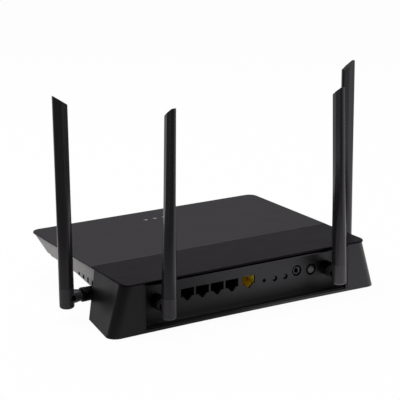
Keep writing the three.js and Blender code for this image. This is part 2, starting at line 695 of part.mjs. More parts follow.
// The rounded boss that carries a side antenna, out to where it joins the housing's front wall,
// grown by a margin and with its walls moved inwards by a distance
function sideBoss(side, margin, wall = 0, rearY = HOUSING_FRONT_Y + HOUSING_WALL + wall) {
  const r = MOUNT_FLANGE_RADIUS + margin - wall;
  const outline = [
    ...arc([SIDE_HINGE_Y, SIDE_HINGE_Z], r, 90, 270, 2 * CORNER_STEPS),
    [rearY, SIDE_HINGE_Z - r],
    [rearY, SIDE_HINGE_Z + r],
  ];
  const outerX = SIDE_HINGE_X - MOUNT_REACH + margin - wall;
  const innerX = SIDE_HINGE_X - MOUNT_REACH - BOSS_LENGTH - margin + wall;
  const [x0, x1] = side > 0 ? [innerX, outerX] : [-outerX, -innerX];
  return prism('x', outline, x0, x1);
}

function vents(side) {
  const outer = side * DECK_REAR_WIDTH;
  const inner = side * (DECK_FRONT_WIDTH / 2 - SHELL_INSET - SHELL_WALL * 2);
  return Array.from({ length: VENT_COUNT }, (_, i) => {
    const y = VENT_REAR_Y - i * VENT_PITCH;
    const [x0, x1] = [Math.min(inner, outer), Math.max(inner, outer)];
    return box(x0, x1, y - VENT_WIDTH / 2, y + VENT_WIDTH / 2, wingZ(y) + VENT_LIFT, VENT_TOP_Z);
  });
}

function lowerShell() {
  const keep = box(-DECK_LENGTH, DECK_LENGTH, -DECK_LENGTH, SHELL_REAR_Y, -BEYOND, DECK_HEIGHT + BEYOND);
  const floorZ = BELLY_Z + SHELL_WALL / 2;
  const postPlaces = [
    [FOOT_FRONT_X, WING_REAR_Y], [-FOOT_FRONT_X, WING_REAR_Y], [0, BELLY_FRONT_Y / 2],
  ];
  const walls = underBody(0).subtract(underBody(SHELL_WALL));
  const bosses = frontScrews.map((place) => screwBoss(place, BELLY_Z));
  const posts = postPlaces.map((place) => boardPost(place, floorZ));
  const padZ = BELLY_Z + FOOT_RECESS + SHELL_WALL;
  const padRadius = FOOT_RADIUS + SHELL_WALL;
  const footPads = frontFeet.map((place) => rod('z', padRadius, floorZ, padZ, place));
  return cut(
    join(walls, ...bosses, ...posts, ...footPads).intersect(keep),
    aboveDeck(DECK_THICK + GAP),
    ...frontScrews.map((place) => screwHole(place, BELLY_Z)),
    ...frontFeet.map((place) => footRecess(place, BELLY_Z)),
    ...SIDES.flatMap((side) => [...vents(side), sideBoss(side, GAP, 0, SHELL_REAR_Y + OVER)]),
  );
}

function rearHousing() {
  const keep = box(-DECK_LENGTH, DECK_LENGTH, 0, DECK_LENGTH, HOUSING_BASE_Z, DECK_HEIGHT + BEYOND);
  const walls = housingBody(0, HOUSING_BASE_Z).subtract(housingBody(HOUSING_WALL, HOUSING_FLOOR_Z));
  const opening = PANEL_HALF_WIDTH + GAP;
  const mouth = box(-opening, opening, PANEL_Y - HOUSING_WALL, DECK_LENGTH, HOUSING_FLOOR_Z, RECESS_TOP_Z);
  const slot = box(-opening, opening, PANEL_Y - HOUSING_WALL, DECK_LENGTH, BAR_TOP_Z, DECK_HEIGHT + BEYOND);
  const passage = underBody(-GAP).intersect(
    box(-DECK_LENGTH, DECK_LENGTH, 0, SHELL_REAR_Y + GAP, -BEYOND, DECK_HEIGHT + BEYOND));
  const postX = BOARD_HALF_WIDTH - 3 * POST_RADIUS;
  const postPlaces = SIDES.map((side) => [side * postX, BOARD_REAR_Y - 4 * POST_RADIUS]);
  const padZ = HOUSING_FLOOR_Z + FOOT_RECESS;
  const padRadius = FOOT_RADIUS + HOUSING_WALL;
  const footPads = rearFeet.map((place) => rod('z', padRadius, HOUSING_BASE_Z, padZ, place));
  const body = cut(
    join(
      walls,
      ...rearScrews.map((place) => screwBoss(place, HOUSING_BASE_Z)),
      ...postPlaces.map((place) => boardPost(place, HOUSING_FLOOR_Z - OVER)),
      ...footPads,
    ).intersect(keep),
    mouth,
    slot,
    passage,
  );
  return cut(
    join(body, ...SIDES.map((side) => sideBoss(side, 0))),
    aboveDeck(DECK_THICK + GAP),
    ...SIDES.map((side) => sideBoss(side, 0, BOSS_WALL)),
    ...SIDES.map((side) => {
      const faceX = side * (SIDE_HINGE_X - MOUNT_REACH);
      const reach = BOSS_WALL + OVER;
      return rod('x', SLEEVE_RADIUS + GAP, faceX - reach, faceX + reach, [SIDE_HINGE_Y, SIDE_HINGE_Z]);
    }),
    ...rearScrews.map((place) => screwHole(place, HOUSING_BASE_Z)),
    ...rearFeet.map((place) => footRecess(place, HOUSING_BASE_Z)),
  );
}

// Recessed panel: vertical behind the sockets, curving out to the housing's lip, with end walls
function ioPanel() {
  const footZ = HOUSING_FLOOR_Z + GAP;
  const tailZ = footZ + PANEL_EDGE;
  const wallY = HOUSING_REAR_Y - HOUSING_WALL - GAP;
  const frontY = HOUSING_REAR_Y - GAP;
  const cove = (faceY, rise, endZ) => bend(
    [faceY, COVE_TOP_Z], [faceY, endZ + rise], [COVE_FOOT_Y, endZ], COVE_STEPS);
  const outer = [
    [wallY, RECESS_TOP_Z + PANEL_WALL], [PANEL_BACK_Y, RECESS_TOP_Z + PANEL_WALL],
    ...cove(PANEL_BACK_Y, COVE_BACK_RISE, footZ),
    [frontY, footZ], [frontY, RECESS_TOP_Z - GAP], [wallY, RECESS_TOP_Z - GAP],
  ];
  const hollow = [
    [frontY + BEYOND, RECESS_TOP_Z], [PANEL_Y, RECESS_TOP_Z],
    ...cove(PANEL_Y, COVE_FOOT_RISE, tailZ),
    [COVE_FOOT_Y, -BEYOND], [frontY + BEYOND, -BEYOND],
  ];
  const half = PANEL_HALF_WIDTH;
  const clear = half - PANEL_WALL;
  const between = box(-clear, clear, PANEL_Y - BEYOND, PANEL_Y + BEYOND, 0, DECK_HEIGHT);
  const dishBacks = SIDES.map((side) => rod(
    'y', DISH_RADIUS, PANEL_BACK_Y - DISH_DEPTH, PANEL_BACK_Y + PANEL_WALL / 2,
    [side * REAR_HINGE_X, REAR_HINGE_Z]));
  const dishes = SIDES.map((side) => rod(
    'y', DISH_RADIUS - DISH_DEPTH, PANEL_Y - DISH_DEPTH, COVE_FOOT_Y,
    [side * REAR_HINGE_X, REAR_HINGE_Z], FACETS, DISH_RADIUS + COVE_FOOT_Y - PANEL_Y).intersect(between));
  const hole = (x, z, radius) => rod('y', radius, PANEL_Y - BEYOND / 2, PANEL_Y + BEYOND, [x, z]);
  return cut(
    join(
      prism('x', outer, -half, half).subtract(prism('x', hollow, -clear, clear)),
      ...dishBacks,
    ),
    ...dishes,
    ...SIDES.map((side) => hole(side * REAR_HINGE_X, REAR_HINGE_Z, SLEEVE_RADIUS + GAP)),
    ...SIDES.map((side) => rod(
      'y', BARREL_RADIUS + GAP, PANEL_Y - DISH_DEPTH, REAR_HINGE_Y, [side * REAR_HINGE_X, REAR_HINGE_Z])),
    ...[...lanX, WAN_X].map((x) => prism('y', socketOutline(x, 0), PANEL_Y - BEYOND / 2, PANEL_Y + BEYOND)),
    hole(SUPPLY_X, SUPPLY_Z, SUPPLY_HOLE_RADIUS),
    hole(POWER_X, POWER_Z, POWER_RADIUS + GAP),
    hole(WPS_X, SMALL_BUTTON_Z, SMALL_BUTTON_RADIUS + GAP),
    hole(WIFI_X, SMALL_BUTTON_Z, SMALL_BUTTON_RADIUS + GAP),
    hole(RESET_X, SMALL_BUTTON_Z, RESET_RADIUS + GAP),
  );
}

// ---------------------------------------------------------------- board and what stands on it

function mainBoard() {
  const outline = [
    [-BOARD_HALF_WIDTH, BOARD_FRONT_Y], [BOARD_HALF_WIDTH, BOARD_FRONT_Y],
    [BOARD_HALF_WIDTH, BOARD_REAR_Y], [-BOARD_HALF_WIDTH, BOARD_REAR_Y],
  ];
  const plate = prism('z', outline, BOARD_Z, BOARD_TOP_Z);
  const hole = (place) => rod('z', BOARD_HOLE_RADIUS, 0, DECK_HEIGHT, place, SMALL_FACETS);
  return cut(plate, ...frontScrews.map(hole));
}

// Block with one stepped socket for each place, standing on the board behind the panel
function jackBlock(places) {
  const frontY = PANEL_BACK_Y - GAP;
  const reach = SOCKET_WIDTH / 2 + JACK_WALL / 2;
  const block = box(
    Math.min(...places) - reach, Math.max(...places) + reach,
    frontY - JACK_DEPTH, frontY, BOARD_TOP_Z + GAP, JACK_TOP_Z);
  const backY = frontY - SOCKET_DEPTH;
  return cut(block, ...places.map((x) => prism('y', socketOutline(x, 0), backY, frontY + OVER)));
}

// Eight spring contacts of a socket on their carrier, hanging from the roof at the socket's back
function contactComb(x) {
  const backY = PANEL_BACK_Y - GAP - SOCKET_DEPTH + GAP;
  const roofZ = SOCKET_TOP_Z - GAP;
  const half = (CONTACT_COUNT * CONTACT_PITCH) / 2;
  const carrier = box(x - half, x + half, backY, backY + CARRIER_DEPTH, roofZ - CARRIER_HEIGHT, roofZ);
  const [rootY, tipY] = [backY + CARRIER_DEPTH / 2, backY + CONTACT_REACH];
  const [lowZ, highZ] = [roofZ - CONTACT_THICK * 1.2, roofZ - CONTACT_THICK * 0.2];
  const finger = [[rootY, highZ], [rootY, lowZ], [tipY, lowZ], [tipY, highZ]];
  const fingers = row(CONTACT_COUNT, CONTACT_PITCH, x)
    .map((middle) => prism('x', finger, middle - CONTACT_WIDTH / 2, middle + CONTACT_WIDTH / 2));
  return join(carrier, ...fingers);
}

function supplyJack() {
  const frontY = PANEL_BACK_Y - GAP;
  const backY = frontY - SUPPLY_DEPTH - SUPPLY_BACK_WALL;
  const ringY = PANEL_Y - SUPPLY_SINK;
  const half = SUPPLY_RING_RADIUS + SUPPLY_WALL;
  const body = box(SUPPLY_X - half, SUPPLY_X + half, backY, frontY, BOARD_TOP_Z + GAP, SUPPLY_Z + half);
  const ring = rod('y', SUPPLY_RING_RADIUS, frontY - OVER, ringY, [SUPPLY_X, SUPPLY_Z]);
  const bore = rod('y', SUPPLY_BORE_RADIUS, frontY - SUPPLY_DEPTH, ringY + OVER, [SUPPLY_X, SUPPLY_Z]);
  return join(body, ring).subtract(bore);
}

function supplyPin() {
  const frontY = PANEL_BACK_Y - GAP;
  const backY = frontY - SUPPLY_DEPTH + GAP;
  const place = [SUPPLY_X, SUPPLY_Z];
  const tipY = PANEL_BACK_Y + SUPPLY_NOSE;
  const shank = rod('y', SUPPLY_PIN_RADIUS, backY, PANEL_BACK_Y, place, SMALL_FACETS);
  const nose = rod('y', SUPPLY_PIN_RADIUS, PANEL_BACK_Y, tipY, place, SMALL_FACETS, SUPPLY_PIN_RADIUS / 2);
  return join(shank, nose);
}

// A button: cap through the panel, flange behind it and a stem into its switch
function button(x, z, radius, sink, stemLength) {
  const frontY = PANEL_BACK_Y - GAP;
  const backY = frontY - BUTTON_FLANGE;
  const cap = rod('y', radius, backY, PANEL_Y - sink, [x, z]);
  const flange = rod('y', radius + BUTTON_FLANGE_WIDTH, backY, frontY, [x, z]);
  const stem = rod('y', radius / 2, backY - stemLength, backY + BUTTON_FLANGE / 2, [x, z], SMALL_FACETS);
  return join(cap, flange, stem);
}

// The switch behind a button, with a bore that takes the stem at its full travel
function boardSwitch(x, z, radius, travel, half, depth) {
  const frontY = PANEL_BACK_Y - GAP - BUTTON_FLANGE - travel - GAP;
  const block = box(x - half, x + half, frontY - depth, frontY, BOARD_TOP_Z + GAP, z + half);
  const bore = rod('y', radius / 2 + GAP, frontY - depth / 2 - travel, frontY + OVER, [x, z], SMALL_FACETS);
  return block.subtract(bore);
}

function rfShield() {
  const [x0, x1] = [SHIELD_X - SHIELD_WIDTH / 2, SHIELD_X + SHIELD_WIDTH / 2];
  const [y0, y1] = [SHIELD_Y - SHIELD_DEPTH / 2, SHIELD_Y + SHIELD_DEPTH / 2];
  const z0 = BOARD_TOP_Z + GAP;
  const w = SHIELD_WALL;
  return cut(
    box(x0, x1, y0, y1, z0, z0 + SHIELD_HEIGHT),
    box(x0 + w, x1 - w, y0 + w, y1 - w, z0 - OVER, z0 + SHIELD_HEIGHT - w),
  );
}

function heatSpreader() {
  const z0 = BOARD_TOP_Z + GAP + SHIELD_HEIGHT + GAP;
  const y0 = SHIELD_Y - HEAT_DEPTH / 2;
  const x0 = SHIELD_X - HEAT_WIDTH / 2;
  const base = box(x0, x0 + HEAT_WIDTH, y0, y0 + HEAT_DEPTH, z0, z0 + HEAT_BASE);
  const pitch = (HEAT_WIDTH - FIN_THICK) / (FIN_COUNT - 1);
  const [finZ, topZ] = [z0 + HEAT_BASE / 2, z0 + HEAT_BASE + FIN_HEIGHT];
  const fins = row(FIN_COUNT, pitch, SHIELD_X)
    .map((x) => box(x - FIN_THICK / 2, x + FIN_THICK / 2, y0, y0 + HEAT_DEPTH, finZ, topZ));
  return join(base, ...fins);
}

function magnetics() {
  const x0 = LAN_MIDDLE_X - MAGNETICS_WIDTH / 2;
  const y0 = MAGNETICS_Y - MAGNETICS_DEPTH / 2;
  const z0 = BOARD_TOP_Z + GAP;
  return box(x0, x0 + MAGNETICS_WIDTH, y0, y0 + MAGNETICS_DEPTH, z0, z0 + MAGNETICS_HEIGHT);
}

// ---------------------------------------------------------------- antenna
// Drawn about the hinge pin's centre: +x outwards from the wall, y along the pin, +z up.

function antennaMount() {
  const wallX = -MOUNT_REACH;
  const bore = STUB_RADIUS + GAP;
  return turned([
    [bore, wallX - SLEEVE_LENGTH], [SLEEVE_RADIUS, wallX - SLEEVE_LENGTH], [SLEEVE_RADIUS, wallX + GAP],
    [MOUNT_FLANGE_RADIUS, wallX + GAP], [MOUNT_FLANGE_RADIUS, wallX + MOUNT_FLANGE],
    [bore, wallX + MOUNT_FLANGE],
  ]);
}

// Barrel that turns in the mount, with a captive collar inside and a flat tongue outside
function antennaSwivel() {
  const shoulderX = -MOUNT_REACH + MOUNT_FLANGE + GAP;
  const collarX = -MOUNT_REACH - SLEEVE_LENGTH - GAP;
  const endX = -BLADE_FOOT - BLADE_CLEAR;
  const rootX = endX - OVER;
  const barrel = turned([
    [STUB_BORE_RADIUS, collarX - COLLAR], [COLLAR_RADIUS, collarX - COLLAR], [COLLAR_RADIUS, collarX],
    [STUB_RADIUS, collarX], [STUB_RADIUS, shoulderX], [BARREL_RADIUS, shoulderX],
    [BARREL_RADIUS, endX], [STUB_BORE_RADIUS, endX],
  ]);
  const round = arc([0, 0], TONGUE_RADIUS, -90, 90, 2 * EDGE_STEPS);
  const outline = [...round, [rootX, TONGUE_RADIUS], [rootX, -TONGUE_RADIUS]];
  const tongue = prism('y', outline, -TONGUE_THICK / 2, TONGUE_THICK / 2);
  const pinHole = rod('y', PIN_HOLE_RADIUS, -TONGUE_THICK, TONGUE_THICK, [0, 0], SMALL_FACETS);
  return cut(join(barrel, tongue), pinHole);
}

function hingePin() {
  const seat = PIN_SINK + GAP;
  return join(
    rod('y', PIN_RADIUS, -seat - PIN_HEAD / 2, seat + PIN_HEAD / 2, [0, 0], SMALL_FACETS),
    rod('y', PIN_HEAD_RADIUS, seat, seat + PIN_HEAD, [0, 0], SMALL_FACETS),
    rod('y', PIN_HEAD_RADIUS, -seat - PIN_HEAD, -seat, [0, 0], SMALL_FACETS),
  );
}

// A level of the blade, set in by a margin: round at the foot, and higher up a thin
// section with a blunt edge at each end and a ridge along each side
function bladeRing(z, margin = 0) {
  const { lerp, smoothstep } = THREE.MathUtils;
  const ridged = smoothstep(z, BLADE_ROUND_Z, BLADE_RIDGE_Z);
  const rise = (z + BLADE_FOOT) / (BLADE_RIDGE_Z + BLADE_FOOT);
  const halfDepth = lerp(BLADE_FOOT_RADIUS, BLADE_DEPTH / 2, Math.min(rise, 1)) - margin;
  const halfRound = BLADE_FOOT_RADIUS - BLADE_TAPER * (z + BLADE_FOOT) - margin;
  const thinner = BLADE_THINNING * (z - BLADE_RIDGE_Z);
  const nose = [halfDepth, (BLADE_NOSE_WIDTH - thinner) / 2];
  const ridge = [BLADE_RIDGE_X, (BLADE_RIDGE_WIDTH - thinner) / 2];
  const back = [-halfDepth, nose[1]];
  const between = (p, q, t) => [lerp(p[0], q[0], t), lerp(p[1], q[1], t)];
  const flank = [
    [halfDepth, 0], nose, between(nose, ridge, 1 / 3), between(nose, ridge, 2 / 3), ridge,
    between(ridge, back, 1 / 3), between(ridge, back, 2 / 3), back, [-halfDepth, 0],
  ];
  const outline = [...flank, ...flank.slice(1, -1).reverse().map(([x, y]) => [x, -y])];
  return outline.map(([x, y], i) => {
    const angle = 2 * Math.PI * i / BLADE_FACETS;
    const round = [halfDepth * Math.cos(angle), halfRound * Math.sin(angle)];
    return [BLADE_OFFSET + lerp(round[0], x, ridged), lerp(round[1], y, ridged), z];
  });
}

// Blade with a knuckle of two cheeks, slotted for the barrel's tongue
function antennaBlade(length) {
  const footZ = -BLADE_FOOT;
  const tipZ = footZ + length;
  const past = 2 * BLADE_FOOT_RADIUS;
  const pitch = (BLADE_RIDGE_Z - BLADE_ROUND_Z) / (BLADE_LEVELS - 1);
  const fading = row(BLADE_LEVELS, pitch, (BLADE_RIDGE_Z + BLADE_ROUND_Z) / 2);
  const levels = [footZ + FOOT_ROUND, ...fading, tipZ];
  const body = loft([bladeRing(footZ, FOOT_TAPER), ...levels.map((z) => bladeRing(z))]);
  const inside = BLADE_OFFSET - OVER;
  const knuckle = join(
    rod('x', KNUCKLE_END_RADIUS, -BLADE_FOOT - OVER, HEEL_TOP_X, [0, 0], FACETS, KNUCKLE_RADIUS),
    rod('x', KNUCKLE_RADIUS, HEEL_TOP_X, inside, [0, 0]),
  ).intersect(rod('y', BLADE_FOOT, -past, past, [0, 0], 2 * FACETS));
  const slot = [
    [-past, SLOT_ROOM], ...arc([0, 0], SLOT_ROOM, 90, 0, CORNER_STEPS), [SLOT_ROOM, -BEYOND],
    [-past, -BEYOND],
  ].reverse();
  const heel = [
    [-past, HEEL_Z], [HEEL_TOP_X, HEEL_Z], [HEEL_FOOT_X, footZ], [HEEL_FOOT_X, -BEYOND],
    [-past, -BEYOND],
  ].reverse();
  const [x0, x1] = [BLADE_OFFSET - ELEMENT_WIDTH / 2 - GAP, BLADE_OFFSET + ELEMENT_WIDTH / 2 + GAP];
  const pocketY = ELEMENT_THICK / 2 + GAP;
  const pocket = box(x0, x1, -pocketY, pocketY, POCKET_FOOT_Z, SLOT_ROOM + ELEMENT_LENGTH + 2 * GAP);
  const slant = Math.tan(THREE.MathUtils.degToRad(BLADE_TIP_SLANT));
  const outerX = BLADE_OFFSET + BLADE_DEPTH / 2;
  const tip = [
    [outerX + OVER, tipZ + OVER * slant], [outerX + OVER, tipZ + BEYOND], [-past, tipZ + BEYOND],
    [-past, tipZ - (outerX + past) * slant],
  ];
  const seats = [[PIN_SINK, past], [-past, -PIN_SINK]].map(([from, to]) => rod(
    'y', PIN_HEAD_RADIUS + GAP, from, to, [0, 0], SMALL_FACETS));
  return cut(
    join(body, knuckle),
    prism('y', slot, -SLOT_HALF, SLOT_HALF),
    prism('y', heel, -past, past),
    prism('y', tip, -past, past),
    rod('y', PIN_HOLE_RADIUS, -past, past, [0, 0], SMALL_FACETS),
    ...seats,
    pocket,
  );
}

function antennaElement() {
  const half = ELEMENT_WIDTH / 2;
  const thin = ELEMENT_THICK / 2;
  const z0 = SLOT_ROOM + GAP;
  return box(BLADE_OFFSET - half, BLADE_OFFSET + half, -thin, thin, z0, z0 + ELEMENT_LENGTH);
}

// ---------------------------------------------------------------- assembly

const router = new THREE.Group();

function piece(parent, name, body, finish) {
  const material = new THREE.MeshStandardMaterial({ ...finish, flatShading: true });
  const mesh = new THREE.Mesh(geometryOf(body), material);
  mesh.name = name;
  parent.add(mesh);
}

piece(router, 'top_cover', topCover(), COVER);
piece(router, 'rear_cover_band', rearCoverBand(), SATIN_BLACK);
piece(router, 'lower_shell', lowerShell(), SHELL_PALE);
piece(router, 'rear_housing', rearHousing(), SATIN_BLACK);
piece(router, 'io_panel', ioPanel(), COVER);
piece(router, 'led_lens_bar', ledLensBar(), CLEAR);
piece(router, 'light_guide', lightGuide(), CLEAR);
piece(router, 'main_board', mainBoard(), BOARD_GREEN);
piece(router, 'lan_jack_block', jackBlock(lanX), SATIN_BLACK);
piece(router, 'wan_jack', jackBlock([WAN_X]), YELLOW);
lanX.forEach((x, i) => piece(router, `lan_contacts_${i + 1}`, contactComb(x), GOLD));
piece(router, 'wan_contacts', contactComb(WAN_X), GOLD);
piece(router, 'dc_jack', supplyJack(), SATIN_BLACK);
piece(router, 'dc_pin', supplyPin(), TIN);

const powerCap = button(POWER_X, POWER_Z, POWER_RADIUS, POWER_SINK, POWER_STEM);
const powerBase = boardSwitch(
  POWER_X, POWER_Z, POWER_RADIUS, POWER_TRAVEL, POWER_SWITCH_HALF, POWER_SWITCH_DEPTH);
piece(router, 'power_button', powerCap, COVER);
piece(router, 'power_switch', powerBase, MATT_BLACK);

const SMALL_BUTTONS = [
  { name: 'wps', x: WPS_X, radius: SMALL_BUTTON_RADIUS, sink: SMALL_BUTTON_SINK },
  { name: 'wifi', x: WIFI_X, radius: SMALL_BUTTON_RADIUS, sink: SMALL_BUTTON_SINK },
  { name: 'reset', x: RESET_X, radius: RESET_RADIUS, sink: RESET_SINK },
];
for (const { name, x, radius, sink } of SMALL_BUTTONS) {
  const cap = button(x, SMALL_BUTTON_Z, radius, sink, SMALL_BUTTON_STEM);
  const base = boardSwitch(
    x, SMALL_BUTTON_Z, radius, SMALL_BUTTON_TRAVEL, SMALL_SWITCH_HALF, SMALL_SWITCH_DEPTH);
  piece(router, `${name}_button`, cap, MATT_BLACK);
  piece(router, `${name}_switch`, base, MATT_BLACK);
}

piece(router, 'rf_shield', rfShield(), TIN);
piece(router, 'heat_spreader', heatSpreader(), TIN);
piece(router, 'lan_transformer', magnetics(), MATT_BLACK);

SIDES.forEach((side, i) => {
  const hand = side > 0 ? 'right' : 'left';
  piece(router, `front_foot_${hand}`, foot(frontFeet[i], BELLY_Z), RUBBER);
  piece(router, `rear_foot_${hand}`, foot(rearFeet[i], HOUSING_BASE_Z), RUBBER);
  piece(router, `front_screw_${hand}`, screw(frontScrews[i], BELLY_Z), TIN);
  piece(router, `rear_screw_${hand}`, screw(rearScrews[i], HOUSING_BASE_Z), TIN);
});

// The four antennas: turn is the heading of the connector, lean the rest angle about it,
// and splay how far the blade stands open on its hinge
const sideHinge = (side) => [side * SIDE_HINGE_X, SIDE_HINGE_Y, SIDE_HINGE_Z];
const rearHinge = (side) => [side * REAR_HINGE_X, REAR_HINGE_Y, REAR_HINGE_Z];
const ANTENNAS = [
  { name: 'side_right', hinge: sideHinge(1), turn: 0, lean: 0, splay: 0.5, length: SIDE_BLADE_LENGTH },
  { name: 'rear_right', hinge: rearHinge(1), turn: 90, lean: -0.9, splay: 0, length: REAR_BLADE_LENGTH },
  { name: 'rear_left', hinge: rearHinge(-1), turn: 90, lean: 1.8, splay: 0, length: REAR_BLADE_LENGTH },
  { name: 'side_left', hinge: sideHinge(-1), turn: 180, lean: -1.2, splay: 0.5, length: SIDE_BLADE_LENGTH },
];

// Coax lead of an antenna, from inside its barrel to its socket on the board
function antennaLead({ hinge, turn }) {
  const up = new THREE.Vector3(0, 0, 1);
  const heading = new THREE.Vector3(1, 0, 0).applyAxisAngle(up, THREE.MathUtils.degToRad(turn));
  const along = (distance) => new THREE.Vector3(...hinge).addScaledVector(heading, -distance).toArray();
  const behind = MOUNT_REACH + SLEEVE_LENGTH + 2 * COLLAR;
  const straight = [along(BLADE_FOOT + LEAD_START), along(MOUNT_REACH), along(behind)];
  const restZ = BOARD_TOP_Z + GAP + LEAD_RADIUS;
  const slopeZ = BOARD_TOP_Z + LEAD_SLOPE_Z;
  const bossX = SIDE_HINGE_X - MOUNT_REACH - BOSS_LENGTH;
  const inside = turn === 90
    ? [
      [REAR_HINGE_X - LEAD_PITCH / 2, LEAD_END_Y + 2 * LEAD_PITCH, slopeZ],
      [LEAD_END_X + LEAD_PITCH, LEAD_END_Y + LEAD_PITCH / 2, restZ],
      [LEAD_END_X, LEAD_END_Y, restZ],
    ]
    : [
      [bossX + LEAD_PITCH / 2, HOUSING_FRONT_Y + OVER, (SIDE_HINGE_Z + slopeZ) / 2],
      [bossX - OVER, SHELL_REAR_Y + LEAD_PITCH, slopeZ + OVER],
      [bossX - 2 * LEAD_PITCH, SHELL_REAR_Y + LEAD_PITCH + OVER, slopeZ],
      [SIDE_LEAD_END_X + LEAD_PITCH, SIDE_LEAD_END_Y + OVER, restZ],
      [SIDE_LEAD_END_X, SIDE_LEAD_END_Y, restZ],
    ];
  const side = Math.sign(hinge[0]);
  return tube([...straight, ...inside.map(([x, y, z]) => [side * x, y, z])], LEAD_RADIUS, LEAD_STEPS);
}

for (const antenna of ANTENNAS) {
  const frame = new THREE.Group();
  frame.position.set(...antenna.hinge);
  frame.rotation.z = THREE.MathUtils.degToRad(antenna.turn);
  const leaning = new THREE.Group();
  leaning.rotation.x = THREE.MathUtils.degToRad(antenna.lean);
  frame.add(leaning);
  router.add(frame);
  piece(frame, `antenna_mount_${antenna.name}`, antennaMount(), MATT_BLACK);
  piece(leaning, `antenna_swivel_${antenna.name}`, antennaSwivel(), SATIN_BLACK);
  piece(leaning, `hinge_pin_${antenna.name}`, hingePin(), SATIN_BLACK);
  const standing = new THREE.Group();
  standing.rotation.y = THREE.MathUtils.degToRad(antenna.splay);
  leaning.add(standing);
  piece(standing, `antenna_blade_${antenna.name}`, antennaBlade(antenna.length), COVER);
  piece(standing, `antenna_element_${antenna.name}`, antennaElement(), BOARD_GREEN);
  piece(router, `antenna_lead_${antenna.name}`, antennaLead(antenna), MATT_BLACK);
}

// Origin: centre of the overall box in plan, at the height the router stands on
const bounds = new THREE.Box3().setFromObject(router, true);
const middle = bounds.getCenter(new THREE.Vector3());
router.position.set(-middle.x, -middle.y, -bounds.min.z);
router.updateMatrixWorld(true);

export default router;
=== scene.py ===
import json
import math

import bmesh
import bpy
from mathutils import Matrix, Vector


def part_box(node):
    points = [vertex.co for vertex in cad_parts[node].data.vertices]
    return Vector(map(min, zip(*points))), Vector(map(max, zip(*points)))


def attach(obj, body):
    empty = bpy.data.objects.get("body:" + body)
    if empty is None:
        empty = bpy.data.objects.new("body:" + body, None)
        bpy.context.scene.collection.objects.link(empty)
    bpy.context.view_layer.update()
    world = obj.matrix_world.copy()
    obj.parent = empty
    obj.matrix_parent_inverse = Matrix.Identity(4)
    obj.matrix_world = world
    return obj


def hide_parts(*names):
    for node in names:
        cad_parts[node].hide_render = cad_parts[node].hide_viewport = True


# Home wireless router with four folding antennas: its looks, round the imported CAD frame.
# Row frame: +X to the router's right seen from the front, +Y towards the sockets, +Z up.
# Shapes below are drawn in millimetres and become metres when a mesh is made.

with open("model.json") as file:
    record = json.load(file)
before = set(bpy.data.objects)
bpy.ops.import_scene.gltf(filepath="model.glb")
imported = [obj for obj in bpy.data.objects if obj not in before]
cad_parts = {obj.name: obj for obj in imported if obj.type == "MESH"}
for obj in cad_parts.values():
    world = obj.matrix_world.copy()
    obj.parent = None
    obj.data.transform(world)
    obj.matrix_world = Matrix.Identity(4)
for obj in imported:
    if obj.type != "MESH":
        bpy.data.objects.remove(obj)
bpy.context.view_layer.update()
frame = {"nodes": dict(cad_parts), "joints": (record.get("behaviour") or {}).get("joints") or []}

MM = 0.001
ROOT = "router"
SIDES = ("right", "left")
ANTENNAS = ("side_right", "rear_right", "rear_left", "side_left")
JOINTS = {joint["name"]: joint for joint in frame["joints"]}

# Camera, fitted to the photo: angles in degrees, distance and aim in metres
VIEW_AZIMUTH = 149.25
VIEW_HEIGHT = 15.75
VIEW_ROLL = -0.12
VIEW_DISTANCE = 1.25299
VIEW_LENS = 131.9
VIEW_AIM = (-0.00481, -0.007653, 0.07323)

# Studio, in metres and degrees. LIGHT_SIDE is the azimuth of its light side. How far a direction
# points to an azimuth goes from -1 to 1. Each pair of numbers is where a smooth step starts and
# ends: by the pointing to the front for FRONT, by that to the light side for NEAR_SIDE and
# FLOOR_SIDE, by the distance from the room's middle for NEAR_FLOOR, and by the height of a
# direction for OVERHEAD.
LIGHT_SIDE = 302.5
FRONT = (0.86, 0.96)
OVERHEAD = (0.2, 0.55)
BOX_PLACE = (0.1, -0.2, 1.6)
BOX_SIZE = (2.0, 2.0)
BOX_AIM = (0, 0, 0.05)
BOX_POWER = 32

# Painted reflection of the floor in the plastics, a glow that only glossy rays see: full near the
# router, but NEAR_DIM of that away from the light side. Further off it is SIDE_LEVEL on the light
# side, with a dip to the front, and FLOOR_DIM on the dark side.
NEAR_FLOOR = (0.22, 0.45)
NEAR_SIDE = (-0.75, -0.2)
NEAR_DIM = 0.35
SIDE_LEVEL = 0.95
FLOOR_SIDE = (-0.5, 0.2)
FLOOR_DIM = 0.08
FLOOR_FRONT_DIP = 0.45

# Share of its own glow in what the floor shows to the camera and in reflections. The rest is a
# matte white of FLOOR_WHITE, which takes the shadow.
FLOOR_GLOW = 0.96
FLOOR_WHITE = 0.9
FLOOR_HALF = 8

# Levels of the room, from its dark side at 0 to its light side at 1, and straight overhead
WORLD_STOPS = ((0.0, 0.03), (0.47, 0.04), (0.56, 0.8), (0.7, 0.8), (0.89, 0.22), (0.965, 0.45))
WORLD_TOP = 0.12

# Triangles of the CAD that meet at less than this angle, in degrees, count as one face
MERGE_ANGLE = 0.4

# Sharpest fold, in degrees, that still shades smooth: on most pieces, on turned and printed ones,
# and on the antennas
PLAIN_LIMIT = 32
TURNED_LIMIT = 40
ANTENNA_LIMIT = 28

# A turned body closes on its axis at this radius
ON_AXIS = 0.01

# Deck plates: the width of their rounded edges, the fold in degrees that counts as an edge, and a
# height that only their upper edges pass
PLATE_BEVEL = 1.0
SHARP_FOLD = 50
PLATE_EDGE_Z = 40.5

